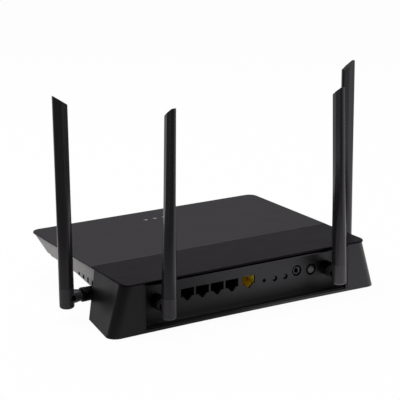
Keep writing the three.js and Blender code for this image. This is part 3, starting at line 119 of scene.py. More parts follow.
# Rear plate of the deck, the groove under it in the housing's left end, as far as GROOVE_END_X,
# and the slot over the panel's bar
PLATE_HALF_WIDTH = 116
PLATE_REAR_Y = 81.73
PLATE_CORNER = 8
PLATE_FOOT_Z = 41.35
GROOVE = 1.1
GROOVE_HEIGHT = 0.5
GROOVE_OVERLAP = 0.6
GROOVE_END_X = -98
GROOVE_FRONT_Y = 10
SLOT_HALF_WIDTH = 97.5
SLOT_FRONT_Y = 70
SLOT_REAR_Y = 90
SLOT_TOP_Z = 43
BAR_TOP_Z = 39.8

# Rods that cut round holes through the socket panel, and the radius of each button's hole
ROD_START_Y = 60
ROD_END_Y = 90
BUTTON_HOLES = {"power_button": 4.9, "wps_button": 2.5, "wifi_button": 2.5, "reset_button": 1.6}

# Fill of the dish round a rear mount, with the mount's hole. It stands 0.02 proud of the panel,
# whose face is at the y of COVE_TOP. The cove is the curve from (y, z) at its top to its foot.
DISH_FACE_Y = 69.85
DISH_HALF = 13
DISH_TOP_Z = 34
DISH_SKIN = (1.2, 0.5)
DISH_HOLE = 6.15
COVE_TOP = (69.83, 24)
COVE_FOOT = (78.43, 3.7)
COVE_RISE = 0.8

# Side vents, counted forwards from the rear one, and the dull black blocks of painted shade that fill them
VENTS = 4
VENT_REAR_Y = 23.23
VENT_PITCH = 8
VENT_HALF_WIDTH = 1.25
VENT_TOP_Z = 31
VENT_FOOT_Z = 25.9
VENT_RISE = 0.97
VENT_SHADE_X = 114.62
VENT_SHADE_IN_X = 109.4

# Buttons: the stem is a share of the cap's radius, and a sink is how far the cap stands back from
# the CAD's. The power button also has a grey face with a sign and a ring on it.
BUTTON_RIM = 0.3
FLANGE_MARGIN = 0.2
CAP_CLEARANCE = 0.02
BUTTON_STEM = 0.6
POWER_RADIUS = 3.3
POWER_DOME = 0.12
POWER_FACE = 3.15
POWER_RING = 2.45
POWER_MARK = 1.35
POWER_LINE = 0.24
RING_LINE = 0.2
FACE_DEPTH = 0.4
FACE_EDGE = 0.06
FACE_ROUND = 0.15
MARK_THICK = 0.05
MARK_SINK = 0.01
SMALL_RADIUS = 1.7
SMALL_SINK = 1.1
SMALL_DOME = 0.25
RESET_RADIUS = 0.8
RESET_SINK = 1.3
RESET_DOME = 0.15

# Pin of the supply jack: how far its tip stands back from the CAD's, the length of its rounded
# tip, and its radius
JACK_PIN_BACK = 2.5
JACK_PIN_TIP = 0.9
JACK_PIN_RADIUS = 0.95

# Marks on the deck, from DECK_MARK_START inside the light guide's end
DECK_MARK_PITCH = 9.05
DECK_MARK_START = 1.5
DECK_MARK_SCALE = 1.2
DECK_MARK_THICK = 0.04
DECK_MARK_LIFT = 0.03
DECK_LINE = 0.15

# Feet and screws
FOOT_RADIUS = 6.0
SCREW_SHANK = 1.4
CROSS_LONG = 1.5
CROSS_SHORT = 0.3
CROSS_DEEP = 1.1

# Blade, about its hinge pin: x outwards, y along the pin, z up. TIP_FACING is how far up the
# mitred tip's face looks, and BEYOND is further than any blade is deep.
BLADE_LENGTHS = {"side": 173.8, "rear": 168.6}
BLADE_SPLAYS = {"side": 0.5, "rear": 0}
BLADE_FOOT = 8.6
BLADE_OFFSET = 3.7
BLADE_FOOT_RADIUS = 6.05
BLADE_TAPER = 0.005
BLADE_DEPTH = 12.1
BLADE_ROUND_Z = 25
BLADE_RIDGE_Z = 95
BLADE_RIDGE_X = -0.5
BLADE_RIDGE_WIDTH = 6.2
BLADE_NOSE_WIDTH = 4.9
BLADE_NOSE_RADIUS = 4.2
BLADE_THINNING = 0.013
RIDGE_STEPS = 9
NEAR_STEP = 5
FAR_STEP = 15
TIP_FOLD = 30
TIP_BEVEL = 0.3
TIP_FACING = (0.7, 0.95)
BEYOND = 3 * BLADE_DEPTH
BLADE_SLANT = 34
FOOT_ROUND = 1.8
CAP_TOP_Z = 8.6
CAP_SEAM = 0.12
HEEL_Z = -5.8
HEEL_TOP_X = -2.6
HEEL_FOOT_X = 0.6
KNUCKLE_RADIUS = 5.6
KNUCKLE_END_RADIUS = 4.6
SLOT_HALF = 2.35
SLOT_ROOM = 4.4
PIN_HOLE = 1.6
SEAT_RADIUS = 2.5
SEAT_Y = 4.3

# Swivel, mount and pin, on the same axes
MOUNT_REACH = 18
MOUNT_FLANGE = 4.3
MOUNT_RADIUS = 5.8
MOUNT_GROOVE = 0.35
MOUNT_EDGE = 0.4
SLEEVE_RADIUS = 3.4
SLEEVE_LENGTH = 4
STUB_RADIUS = 2.3
STUB_BORE = 1.2
COLLAR_RADIUS = 3.2
COLLAR = 1.1
BARREL_RADIUS = 5.9
BARREL_END_X = -9.0
KNURLS = 30
KNURL_DEPTH = 0.1
BARREL_GROOVE = 0.4
BARREL_EDGE = 0.35
TONGUE_RADIUS = 3.9
TONGUE_HALF = 2.05
TONGUE_BEVEL = 0.25
PIN_RADIUS = 1.3
PIN_HEAD_RADIUS = 2.2
PIN_HEAD = 0.7
GAP = 0.3


# ------------------------------------------------------------------ mesh helpers

def new_object(name, mesh):
    """An object in the scene, with a mesh."""
    obj = bpy.data.objects.new(name, mesh)
    bpy.context.scene.collection.objects.link(obj)
    return obj


def shade(mesh, limit):
    """Smooth shading that breaks at edges sharper than the limit, in degrees."""
    work = bmesh.new()
    work.from_mesh(mesh)
    for face in work.faces:
        face.smooth = True
    for edge in work.edges:
        folded = len(edge.link_faces) != 2 or edge.calc_face_angle(0) > math.radians(limit)
        edge.smooth = not folded
    work.to_mesh(mesh)
    work.free()


def mesh_from(name, points, faces, matrix=None):
    """A mesh of points in millimetres, placed by a matrix in metres."""
    mesh = bpy.data.meshes.new(name)
    mesh.from_pydata([Vector(point) * MM for point in points], [], faces)
    work = bmesh.new()
    work.from_mesh(mesh)
    bmesh.ops.remove_doubles(work, verts=work.verts, dist=1e-7)
    bmesh.ops.recalc_face_normals(work, faces=work.faces)
    work.to_mesh(mesh)
    work.free()
    if matrix is not None:
        mesh.transform(matrix)
    return mesh


def loft(rings):
    """Points and faces of a closed body through rings with equally many points."""
    count = len(rings[0])
    points = [point for ring in rings for point in ring]
    faces = []
    for level in range(len(rings) - 1):
        for i in range(count):
            a = level * count + i
            b = level * count + (i + 1) % count
            faces.append((a, b, b + count, a + count))
    faces.append(tuple(reversed(range(count))))
    faces.append(tuple(range((len(rings) - 1) * count, len(rings) * count)))
    return points, faces


def turned(profile, segments=48, wave=None):
    """A body of (station, radius) points turned about the x axis. The profile closes on itself,
    and wave(index, angle) may add to a radius."""
    count = len(profile)
    points = []
    for i in range(segments):
        angle = 2 * math.pi * i / segments
        for k, (station, radius) in enumerate(profile):
            r = radius + (wave(k, angle) if wave else 0)
            points.append((station, r * math.cos(angle), r * math.sin(angle)))
    faces = []
    for i in range(segments):
        j = (i + 1) % segments
        for k in range(count):
            n = (k + 1) % count
            faces.append((i * count + k, i * count + n, j * count + n, j * count + k))
    return points, faces


def prism(outline, start, end):
    """An outline in the x-z plane, extruded along y."""
    near = [(x, start, z) for x, z in outline]
    far = [(x, end, z) for x, z in outline]
    return loft([near, far])


def arc(centre, radius, start, end, steps):
    """Points of an arc in a plane, with its angles in degrees."""
    turn = [math.radians(start + (end - start) * i / steps) for i in range(steps + 1)]
    return [(centre[0] + radius * math.cos(a), centre[1] + radius * math.sin(a)) for a in turn]


def bezier(a, b, c, d, steps):
    """Points of a cubic curve in a plane."""
    points = []
    for i in range(steps + 1):
        t = i / steps
        s = 1 - t
        weights = (s ** 3, 3 * s * s * t, 3 * s * t * t, t ** 3)
        points.append(tuple(sum(w * p[k] for w, p in zip(weights, (a, b, c, d))) for k in (0, 1)))
    return points


def boolean(mesh, cutter, operation="DIFFERENCE"):
    """The mesh cut by, or joined with, another."""
    base = new_object("boolean_base", mesh)
    tool = new_object("boolean_tool", cutter)
    modifier = base.modifiers.new("boolean", "BOOLEAN")
    modifier.operation = operation
    modifier.solver = "EXACT"
    modifier.object = tool
    bpy.context.view_layer.update()
    graph = bpy.context.evaluated_depsgraph_get()
    result = bpy.data.meshes.new_from_object(base.evaluated_get(graph))
    for obj in (base, tool):
        bpy.data.objects.remove(obj)
    return result


def bevel_edges(mesh, width, wanted, segments=2):
    """Rounds the edges that wanted(edge) picks, by a width in millimetres."""
    work = bmesh.new()
    work.from_mesh(mesh)
    edges = [edge for edge in work.edges if len(edge.link_faces) == 2 and wanted(edge)]
    bmesh.ops.bevel(
        work, geom=edges, offset=width * MM, segments=segments, profile=0.5,
        affect="EDGES", clamp_overlap=True)
    work.to_mesh(mesh)
    work.free()


def copied(node):
    """The mesh of a CAD node, with its coplanar triangles merged."""
    mesh = frame["nodes"][node].data.copy()
    work = bmesh.new()
    work.from_mesh(mesh)
    bmesh.ops.remove_doubles(work, verts=work.verts, dist=1e-6)
    bmesh.ops.dissolve_limit(
        work, angle_limit=math.radians(MERGE_ANGLE), verts=work.verts, edges=work.edges)
    work.to_mesh(mesh)
    work.free()
    return mesh


def piece(name, mesh, body, look, nodes=(), limit=PLAIN_LIMIT):
    """A finished piece: shaded, painted, riding on a body and standing for its CAD nodes."""
    shade(mesh, limit)
    mesh.materials.clear()
    mesh.materials.append(look)
    obj = new_object(name, mesh)
    modifier = obj.modifiers.new("weighted_normals", "WEIGHTED_NORMAL")
    modifier.keep_sharp = True
    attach(obj, body)
    if nodes:
        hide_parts(*nodes)
    return obj


# ------------------------------------------------------------------ materials

def nodes_of(look):
    """The node tree of a material and its main shader."""
    look.use_nodes = True
    tree = look.node_tree
    shader = next(node for node in tree.nodes if node.type == "BSDF_PRINCIPLED")
    return tree, shader


def texture(tree, scale, stretch=(1, 1, 1), detail=3.0):
    """Noise in the piece's own coordinates, at a scale per metre."""
    place = tree.nodes.new("ShaderNodeTexCoord")
    mapping = tree.nodes.new("ShaderNodeMapping")
    mapping.inputs["Scale"].default_value = stretch
    pattern = tree.nodes.new("ShaderNodeTexNoise")
    pattern.inputs["Scale"].default_value = scale
    pattern.inputs["Detail"].default_value = detail
    tree.links.new(place.outputs["Object"], mapping.inputs["Vector"])
    tree.links.new(mapping.outputs["Vector"], pattern.inputs["Vector"])
    return pattern.outputs[0]


def ranged(tree, value, low, high):
    """A 0-1 value spread between two numbers."""
    node = tree.nodes.new("ShaderNodeMapRange")
    node.inputs["To Min"].default_value = low
    node.inputs["To Max"].default_value = high
    tree.links.new(value, node.inputs["Value"])
    return node.outputs["Result"]


def tinted(tree, value, dark, light):
    """A colour between two, by a 0-1 value."""
    node = tree.nodes.new("ShaderNodeMix")
    node.data_type = "RGBA"
    tree.links.new(value, node.inputs["Factor"])
    node.inputs["A"].default_value = (*dark, 1)
    node.inputs["B"].default_value = (*light, 1)
    return node.outputs["Result"]


def bumped(tree, shader, height, depth, strength):
    """Lets a 0-1 value raise the surface by a depth in millimetres."""
    node = tree.nodes.new("ShaderNodeBump")
    node.inputs["Distance"].default_value = depth * MM
    node.inputs["Strength"].default_value = strength
    tree.links.new(height, node.inputs["Height"])
    tree.links.new(node.outputs["Normal"], shader.inputs["Normal"])


# Sheen of every material: a little less green than white, as the photo's black plastic shows
SHEEN_TINT = (1.0, 0.945, 1.01, 1)

# Noise per metre for the slow change of tone and of gloss, and how far the gloss goes
TONE_SCALE = 18
GLOSS_SCALE = 60
GLOSS_SPREAD = 0.05


def plastic(name, color, roughness, grain=900, depth=0.03, strength=0.25, spread=0.12,
            specular=0.5, stretch=(1, 1, 1), metallic=0.0):
    """Moulded plastic or plain metal: a fine surface grain and a slow change of tone and gloss."""
    look = bpy.data.materials.new(name)
    tree, shader = nodes_of(look)
    slow = texture(tree, TONE_SCALE, detail=2.0)
    dark = [channel * (1 - spread) for channel in color]
    light = [channel * (1 + spread) for channel in color]
    tree.links.new(tinted(tree, slow, dark, light), shader.inputs["Base Color"])
    gloss = ranged(tree, texture(tree, GLOSS_SCALE), roughness - GLOSS_SPREAD, roughness + GLOSS_SPREAD)
    tree.links.new(gloss, shader.inputs["Roughness"])
    bumped(tree, shader, texture(tree, grain, stretch), depth, strength)
    shader.inputs["Specular IOR Level"].default_value = specular
    shader.inputs["Specular Tint"].default_value = SHEEN_TINT
    shader.inputs["Metallic"].default_value = metallic
    return look


def clear_plastic():
    """Light guide and windows."""
    look = plastic("clear_plastic", (0.7, 0.72, 0.74), 0.15, grain=400, strength=0.05)
    shader = nodes_of(look)[1]
    shader.inputs["Transmission Weight"].default_value = 0.6
    shader.inputs["IOR"].default_value = 1.49
    return look


def deck_looks():
    """The textured front plate of the deck and the smoother band behind it."""
    return [
        plastic("cover_textured", (0.0095, 0.0077, 0.0103), 0.5,
                grain=2600, depth=0.05, strength=0.5, spread=0.1, specular=0.42),
        plastic("cover_smooth", (0.0038, 0.002, 0.0047), 0.42,
                grain=1800, depth=0.02, spread=0.08, specular=0.12)]


def body_looks():
    """The grey under body, streaked upwards, and the black housing and socket panel."""
    return [
        plastic("shell_grey", (0.38, 0.37, 0.365), 0.45, strength=0.4, spread=0.04, stretch=(1, 1, 0.04)),
        plastic("housing_black", (0.0052, 0.005, 0.0056), 0.38, grain=1700, depth=0.02, spread=0.1),
        plastic("panel_black", (0.0058, 0.0056, 0.006), 0.4, grain=1700, depth=0.02, spread=0.1)]


def socket_looks():
    """The sockets, black and yellow, and their gilt contacts."""
    return [
        plastic("jack_black", (0.011, 0.0108, 0.0115), 0.4,
                grain=1200, depth=0.02, strength=0.2, spread=0.1),
        plastic("jack_yellow", (0.93, 0.73, 0.045), 0.25, grain=700, strength=0.2, spread=0.08),
        plastic("contact_gold", (0.75, 0.52, 0.2), 0.25,
                depth=0.01, strength=0.1, spread=0.1, metallic=1.0)]


def inner_looks():
    """What is inside: windows, the board, its cans and the brushed heat spreader."""
    return [
        clear_plastic(),
        plastic("board_green", (0.01, 0.09, 0.045), 0.35, grain=300, depth=0.05, strength=0.3, spread=0.2),
        plastic("tin", (0.62, 0.62, 0.64), 0.3,
                grain=1400, depth=0.01, strength=0.2, spread=0.05, metallic=1.0),
        plastic("heat_aluminium", (0.7, 0.7, 0.72), 0.38,
                grain=1400, depth=0.01, strength=0.3, spread=0.04, stretch=(1, 0.03, 1), metallic=1.0)]


def small_looks():
    """Buttons, switches, a dull black that paints the shade in openings, rubber and screws."""
    return [
        plastic("button_black", (0.045, 0.043, 0.046), 0.35,
                grain=1500, depth=0.02, strength=0.2, spread=0.08),
        plastic("switch_black", (0.008, 0.008, 0.0085), 0.5, strength=0.3, spread=0.1, specular=0.4),
        # Near-black with little gloss: painted shade inside vents, gaps and openings
        plastic("painted_shade_black", (0.004, 0.004, 0.004), 0.9, strength=0.3, spread=0.1, specular=0.05),
        plastic("face_grey", (0.09, 0.088, 0.09), 0.35,
                grain=1500, depth=0.02, strength=0.2, spread=0.08),
        plastic("foot_rubber", (0.015, 0.015, 0.0155), 0.8,
                grain=1500, depth=0.08, strength=0.6, spread=0.1, specular=0.3),
        plastic("screw_steel", (0.45, 0.45, 0.47), 0.3,
                grain=1500, depth=0.01, strength=0.2, spread=0.1, metallic=1.0)]


def antenna_looks():
    """Glossy blades, their slightly lighter feet, dark swivels and the leads."""
    return [
        plastic("antenna_black", (0.0145, 0.0135, 0.0147), 0.2,
                grain=1700, depth=0.006, strength=0.06, spread=0.08),
        plastic("antenna_foot", (0.035, 0.0333, 0.0354), 0.3,
                grain=1700, depth=0.01, strength=0.15, spread=0.08),
        plastic("swivel_black", (0.0012, 0.0012, 0.0013), 0.4,
                grain=1500, depth=0.01, strength=0.15, spread=0.1, specular=0.12),
        plastic("lead_black", (0.01, 0.01, 0.01), 0.5, depth=0.02, strength=0.2, spread=0.1, specular=0.4)]


def ink(name, level):
    """Printed ink of a grey level."""
    return plastic(name, (level, level, level), 0.6,
                   grain=1500, depth=0.01, strength=0.1, spread=0.05, specular=0.3)


def plain_name(look):
    """The name of a material without the number that Blender adds to a name already in use."""
    return look.name.split(".")[0]


LOOK_GROUPS = (deck_looks, body_looks, socket_looks, inner_looks, small_looks, antenna_looks)
LOOKS = {plain_name(look): look for group in LOOK_GROUPS for look in group()}
MARK_GREY = ink("mark_grey", 0.3)
MARK_WHITE = ink("mark_white", 0.5)


# ------------------------------------------------------------------ shells

def fold_angle(edge):
    """How far the faces of an edge are folded, in degrees."""
    return math.degrees(edge.calc_face_angle(0))


def deck_edge(edge):
    """Picks the sharp edges of a deck plate's upper face."""
    if fold_angle(edge) < SHARP_FOLD or min(v.co.z for v in edge.verts) < PLATE_EDGE_Z * MM:
        return False
    return any(face.normal.z > 0.9 for face in edge.link_faces)


def box_mesh(low, high):
    """A plain box between two corners in millimetres."""
    outline = [(low[0], low[2]), (high[0], low[2]), (high[0], high[2]), (low[0], high[2])]
    return mesh_from("box", *prism(outline, low[1], high[1]))


def groove_mesh(inset, low, high):
    """What lies outside the rear plate's outline, drawn in by an inset, between two heights. Only
    the left end of the housing, up to GROOVE_END_X, is in it."""
    r = PLATE_CORNER - inset
    half, rear = PLATE_HALF_WIDTH - inset, PLATE_REAR_Y - inset
    outline = [(half, 0)] + arc((half - r, rear - r), r, 0, 90, 16)
    outline += arc((r - half, rear - r), r, 90, 180, 16) + [(-half, 0)]
    plate = mesh_from("plate", *loft([[(x, y, z) for x, y in outline] for z in (low - 1, high + 1)]))
    return boolean(box_mesh((-2 * half, GROOVE_FRONT_Y, low), (GROOVE_END_X, 2 * rear, high)), plate)


# Turns the x axis of a turned body to the rear or upwards
TO_REAR = Matrix.Rotation(math.radians(90), 4, "Z")
TO_TOP = Matrix.Rotation(math.radians(-90), 4, "Y")


def placed(x, y, z, turn):
    """A turn followed by a move, in millimetres."""
    return Matrix.Translation(Vector((x, y, z)) * MM) @ turn


def middle(node):
    """The two corners of a CAD node's box, and its middle, in millimetres."""
    low, high = (Vector(corner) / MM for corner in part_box(node))
    return low, high, (low + high) / 2


def panel_rod(centre, radius, segments=48):
    """A rod through the socket panel, to cut a round hole with."""
    rod = [(ROD_START_Y, ON_AXIS), (ROD_START_Y, radius), (ROD_END_Y, radius), (ROD_END_Y, ON_AXIS)]
    return mesh_from("hole", *turned(rod, segments), placed(centre.x, 0, centre.z, TO_REAR))


def dish_fill(centre):
    """Brings the dish round a rear mount almost flush with the panel, along its flat and its cove."""
    foot = (COVE_FOOT[0] + (DISH_FACE_Y - COVE_TOP[0]), COVE_FOOT[1])
    top = (DISH_FACE_Y, COVE_TOP[1])
    bend = (DISH_FACE_Y, COVE_FOOT[1] + COVE_RISE)
    curve = bezier(top, mix_points(top, bend, 2 / 3), mix_points(foot, bend, 2 / 3), foot, 12)
    face = [(DISH_FACE_Y, DISH_TOP_Z)] + list(curve)
    outline = face + [(y - DISH_SKIN[0], z - DISH_SKIN[1]) for y, z in reversed(face)]
    fill = prism(outline, -centre.x - DISH_HALF, -centre.x + DISH_HALF)
    return boolean(mesh_from("fill", *fill, TO_REAR), panel_rod(centre, DISH_HOLE, 64))


def build_deck():
    """The two plates of the deck, with rounded upper edges."""
    for name, node, look in (
            ("cover", "top_cover", "cover_textured"),
            ("cover_band", "rear_cover_band", "cover_smooth")):
        plate = copied(node)
        bevel_edges(plate, PLATE_BEVEL, deck_edge, 4)
        piece(name, plate, ROOT, LOOKS[look], [node])


def bar_slot():
    """The slot between the panel's bar and the deck's rear plate."""
    return box_mesh((-SLOT_HALF_WIDTH, SLOT_FRONT_Y, BAR_TOP_Z), (SLOT_HALF_WIDTH, SLOT_REAR_Y, SLOT_TOP_Z))


def build_housing():
    housing = boolean(copied("rear_housing"), bar_slot())
    groove = groove_mesh(GROOVE, PLATE_FOOT_Z - GROOVE_HEIGHT, PLATE_FOOT_Z + GROOVE_OVERLAP)
    housing = boolean(housing, groove)
    piece("housing", housing, ROOT, LOOKS["housing_black"], ["rear_housing"])


def build_panel():
    """The socket panel: slot, filled dishes round the rear mounts, and holes for the buttons."""
    panel = boolean(copied("io_panel"), bar_slot())
    for side in SIDES:
        centre = middle(f"antenna_mount_rear_{side}")[2]
        panel = boolean(panel, dish_fill(centre), "UNION")
    for node, radius in BUTTON_HOLES.items():
        panel = boolean(panel, panel_rod(middle(node)[2], radius))
    piece("socket_panel", panel, ROOT, LOOKS["panel_black"], ["io_panel"])


def build_plain_pieces():
    """Pieces whose shape is the CAD's own."""
    for name, node, look in (
            ("under_body", "lower_shell", "shell_grey"),
            ("lan_jacks", "lan_jack_block", "jack_black"),
            ("wan_jack_shell", "wan_jack", "jack_yellow")):
        piece(name, copied(node), ROOT, LOOKS[look], [node])


def build_vent_painted_shade():
    """Dull black blocks that close the side vents, flush with the wall: painted shade in place of the
    vents' shaded inside.
    """
    points, faces = [], []
    for side in (-1, 1):
        for i in range(VENTS):
            y = VENT_REAR_Y - i * VENT_PITCH
            foot = VENT_FOOT_Z + VENT_RISE * i
            inner, outer = side * VENT_SHADE_IN_X, side * VENT_SHADE_X
            outline = [(inner, foot), (outer, foot), (outer, VENT_TOP_Z), (inner, VENT_TOP_Z)]
            more_points, more_faces = prism(outline, y - VENT_HALF_WIDTH, y + VENT_HALF_WIDTH)
            faces += [tuple(k + len(points) for k in face) for face in more_faces]
            points += more_points
    mesh = mesh_from("vent_painted_shade", points, faces)
    piece("vent_painted_shade", mesh, ROOT, LOOKS["painted_shade_black"])


# ------------------------------------------------------------------ small pieces

def flange_of(node, radius):
    """Where the flange of a button starts and ends, and its radius."""
    centre = middle(node)[2]
    wide = []
    for vertex in frame["nodes"][node].data.vertices:
        x, y, z = vertex.co / MM
        reach = math.hypot(x - centre.x, z - centre.z)
        if reach > radius + FLANGE_MARGIN:
            wide.append((y, reach))
    return min(y for y, r in wide), max(y for y, r in wide), max(r for y, r in wide)


def build_button(node, radius, sink, dome, look="button_black"):
    """A turned button: stem, flange, and a cap with a rounded rim and a slightly domed face. The cap
    stands back by the sink, but stays in front of its flange."""
    low, high, centre = middle(node)
    start, end, flange = flange_of(node, radius)
    front = max(high.y - sink, end + dome + BUTTON_RIM + CAP_CLEARANCE)
    rim_y = front - dome - BUTTON_RIM
    edge = radius - BUTTON_RIM
    stem = radius * BUTTON_STEM
    profile = [(low.y, ON_AXIS), (low.y, stem), (start, stem), (start, flange), (end, flange)]
    profile += [(end, radius), (rim_y, radius)]
    profile += [(rim_y + x, edge + y) for x, y in arc((0, 0), BUTTON_RIM, 75, 15, 4)]
    for share in (1, 0.75, 0.5, 0.25, 0):
        profile.append((front - dome * share ** 2, max(edge * share, ON_AXIS)))
    mesh = mesh_from(node, *turned(profile, 56), placed(centre.x, 0, centre.z, TO_REAR))
    piece(f"{node}_cap", mesh, node, LOOKS[look], [node], TURNED_LIMIT)
    return front, centre


def stroke(outline, half_width):
    """Closed outline of a line of a given width along points in a plane."""
    left, right = [], []
    for i, point in enumerate(outline):
        before = Vector(outline[max(i - 1, 0)])
        after = Vector(outline[min(i + 1, len(outline) - 1)])
        along = (after - before).normalized()
        across = Vector((-along.y, along.x)) * half_width
        left.append(tuple(Vector(point) + across))
        right.append(tuple(Vector(point) - across))
    return left + right[::-1]


def build_mark(name, strokes, thick, matrix, body, look):
    """Printed strokes, drawn in a plane and laid on a face."""
    points, faces = [], []
    for outline in strokes:
        half = len(outline) // 2
        base = len(points)
        for z in (0, thick):
            points += [(x, y, z) for x, y in outline]
        count = len(outline)
        for level in (0, count):
            for i in range(half - 1):
                faces.append((base + level + i, base + level + i + 1,
                              base + level + count - 2 - i, base + level + count - 1 - i))
        for i in range(count):
            j = (i + 1) % count
            faces.append((base + i, base + j, base + count + j, base + count + i))
    mesh = mesh_from(name, points, faces, matrix)
    piece(name, mesh, body, look, (), TURNED_LIMIT)


def power_strokes(radius, heights, half_width, steps):
    """The generic power sign: an open ring, and a bar that stands in its gap."""
    ring = stroke(arc((0, 0), radius, 125, 415, steps), half_width)
    bar = stroke([(0, height) for height in heights], half_width)
    return [ring, bar]


def build_power_button():
    """The power button, its grey face, and the ring and sign on it."""
    # The cap's edge, seen in the gap round the grey face, is near-black painted shade
    front, centre = build_button("power_button", POWER_RADIUS, 0, POWER_DOME, "painted_shade_black")
    back = front - FACE_DEPTH
    disc = [(back, ON_AXIS), (back, POWER_FACE), (front - FACE_EDGE, POWER_FACE),
            (front, POWER_FACE - FACE_ROUND), (front, ON_AXIS)]
    disc = mesh_from("power_face", *turned(disc, 64), placed(centre.x, 0, centre.z, TO_REAR))
    piece("power_face", disc, "power_button", LOOKS["face_grey"])
    sign = power_strokes(POWER_MARK, (0.3, 1.1, 1.95), POWER_LINE, 28)
    x, y, z = centre.x * MM, (front - MARK_SINK) * MM, centre.z * MM
    face = Matrix(((-1, 0, 0, x), (0, 0, 1, y), (0, 1, 0, z), (0, 0, 0, 1)))
    build_mark("power_mark", sign, MARK_THICK, face, "power_button", MARK_GREY)
    halo = [stroke(arc((0, 0), POWER_RING, 0, 358, 48), RING_LINE)]
    build_mark("power_ring", halo, MARK_THICK, face, "power_button", LOOKS["button_black"])


def build_buttons():
    build_power_button()
    for node in ("wps_button", "wifi_button"):
        build_button(node, SMALL_RADIUS, SMALL_SINK, SMALL_DOME)
    # The reset cap, deep in its hole, is near-black painted shade
    build_button("reset_button", RESET_RADIUS, RESET_SINK, RESET_DOME, "painted_shade_black")


def build_supply_jack():
    """The supply jack's body, a turned rim round its opening, and its pin with a rounded tip."""
    face = middle("dc_jack")[1].y
    low, high, centre = middle("dc_pin")
    # The jack's body is near-black, which also paints the shade in its bore
    piece("supply_jack", copied("dc_jack"), ROOT, LOOKS["painted_shade_black"], ["dc_jack"])
    rim = [(face - 1.2, 1.9), (face - 0.5, 1.9), (face - 0.1, 2.3), (face + 0.1, 2.6), (face + 0.1, 3.1),
           (face - 0.1, 3.3), (face - 1.2, 3.3)]
    place = placed(centre.x, 0, centre.z, TO_REAR)
    rim = mesh_from("supply_rim", *turned(rim, 64), place)
    piece("supply_rim", rim, ROOT, LOOKS["face_grey"])
    front = high.y - JACK_PIN_BACK
    pin = [(low.y, ON_AXIS), (low.y, JACK_PIN_RADIUS)]
    for angle in (90, 70, 50, 30, 15):
        turn = math.radians(angle)
        pin.append((front - JACK_PIN_TIP * (1 - math.cos(turn)), JACK_PIN_RADIUS * math.sin(turn)))
    pin.append((front, ON_AXIS))
    mesh = mesh_from("dc_pin", *turned(pin, 32), place)
    piece("supply_pin", mesh, ROOT, LOOKS["tin"], ["dc_pin"], TURNED_LIMIT)


def build_deck_marks():
    """Power, globe and two fans of arcs on the window bar, each drawn round its own middle."""
    high, centre = middle("led_lens_bar")[1:]
    w = DECK_LINE
    power = power_strokes(1.15, (0.3, 0.9, 1.5), w, 20)
    globe = [
        stroke(arc((0, 0), 1.3, 0, 350, 24), w), stroke([(-1.2, 0), (0, 0), (1.2, 0)], w),
        stroke([(0, -1.2), (0, 0), (0, 1.2)], w)]
    fan = [stroke(arc((0, -1), radius, 45, 135, 8), w) for radius in (0.7, 1.5, 2.3)]
    fan.append(stroke([(-w, -1), (0, -1), (w, -1)], w))
    first_x = middle("light_guide")[0].x + DECK_MARK_START
    for i, strokes in enumerate((power, globe, fan, fan)):
        x = first_x + DECK_MARK_PITCH * i
        place = Matrix.Translation(Vector((x, centre.y, high.z + DECK_MARK_LIFT)) * MM)
        place = place @ Matrix.Rotation(math.pi, 4, "Z") @ Matrix.Scale(DECK_MARK_SCALE, 4)
        build_mark(f"deck_mark_{i + 1}", strokes, DECK_MARK_THICK, place, ROOT, MARK_WHITE)


def build_foot(node):
    """A rubber pad with a shallow hollow in its underside."""
    high, centre = middle(node)[1:]
    profile = [
        (0.25, ON_AXIS), (0.25, 3.4), (0.05, 3.7), (0, 4.0), (0, 4.9), (0.12, 5.4), (0.4, 5.8),
        (0.8, FOOT_RADIUS), (high.z, FOOT_RADIUS), (high.z, ON_AXIS)]
    mesh = mesh_from(node, *turned(profile, 64), placed(centre.x, centre.y, 0, TO_TOP))
    piece(f"{node}_pad", mesh, ROOT, LOOKS["foot_rubber"], [node], TURNED_LIMIT)


def build_screw(node):
    """A screw with a rounded head and a cross recess."""
    low, high, centre = middle(node)
    head = high.x - centre.x
    length = high.z - low.z
    profile = [
        (0, ON_AXIS), (0, head * 0.55), (0.2, head * 0.85), (0.6, head), (1.5, head), (1.6, SCREW_SHANK),
        (length - 1, SCREW_SHANK), (length, 0.4), (length, ON_AXIS)]
    mesh = mesh_from(node, *turned(profile, 40), placed(centre.x, centre.y, low.z, TO_TOP))
    for wide, deep in ((CROSS_LONG, CROSS_SHORT), (CROSS_SHORT, CROSS_LONG)):
        near = (centre.x - wide, centre.y - deep, low.z - 1)
        far = (centre.x + wide, centre.y + deep, low.z + CROSS_DEEP)
        mesh = boolean(mesh, box_mesh(near, far))
    piece(f"{node}_head", mesh, ROOT, LOOKS["screw_steel"], [node])


def build_feet():
    for row in ("front", "rear"):
        for hand in ("left", "right"):
            build_foot(f"{row}_foot_{hand}")
    for row in ("front", "rear"):
        for hand in ("left", "right"):
            build_screw(f"{row}_screw_{hand}")


# ------------------------------------------------------------------ antennas

def antenna_frame(name):
    """Axes of an antenna at rest: x outwards from its wall, y along its pin, z up the blade."""
    joint = JOINTS[f"fold_{name}"]
    along_pin = Vector(joint["axis"]).normalized()
    outwards = along_pin.cross(Vector((0, 0, 1))).normalized()
    up = outwards.cross(along_pin)
    turn = Matrix((outwards, along_pin, up)).transposed().to_4x4()
    return Matrix.Translation(Vector(joint["pos_m"])) @ turn


def smoothstep(value, low, high):
    """0 below low, 1 above high and smooth between."""
    t = min(max((value - low) / (high - low), 0), 1)
    return t * t * (3 - 2 * t)


def mix_points(p, q, share):
    """The point at a share of the way from p to q."""
    return tuple(a + (b - a) * share for a, b in zip(p, q))


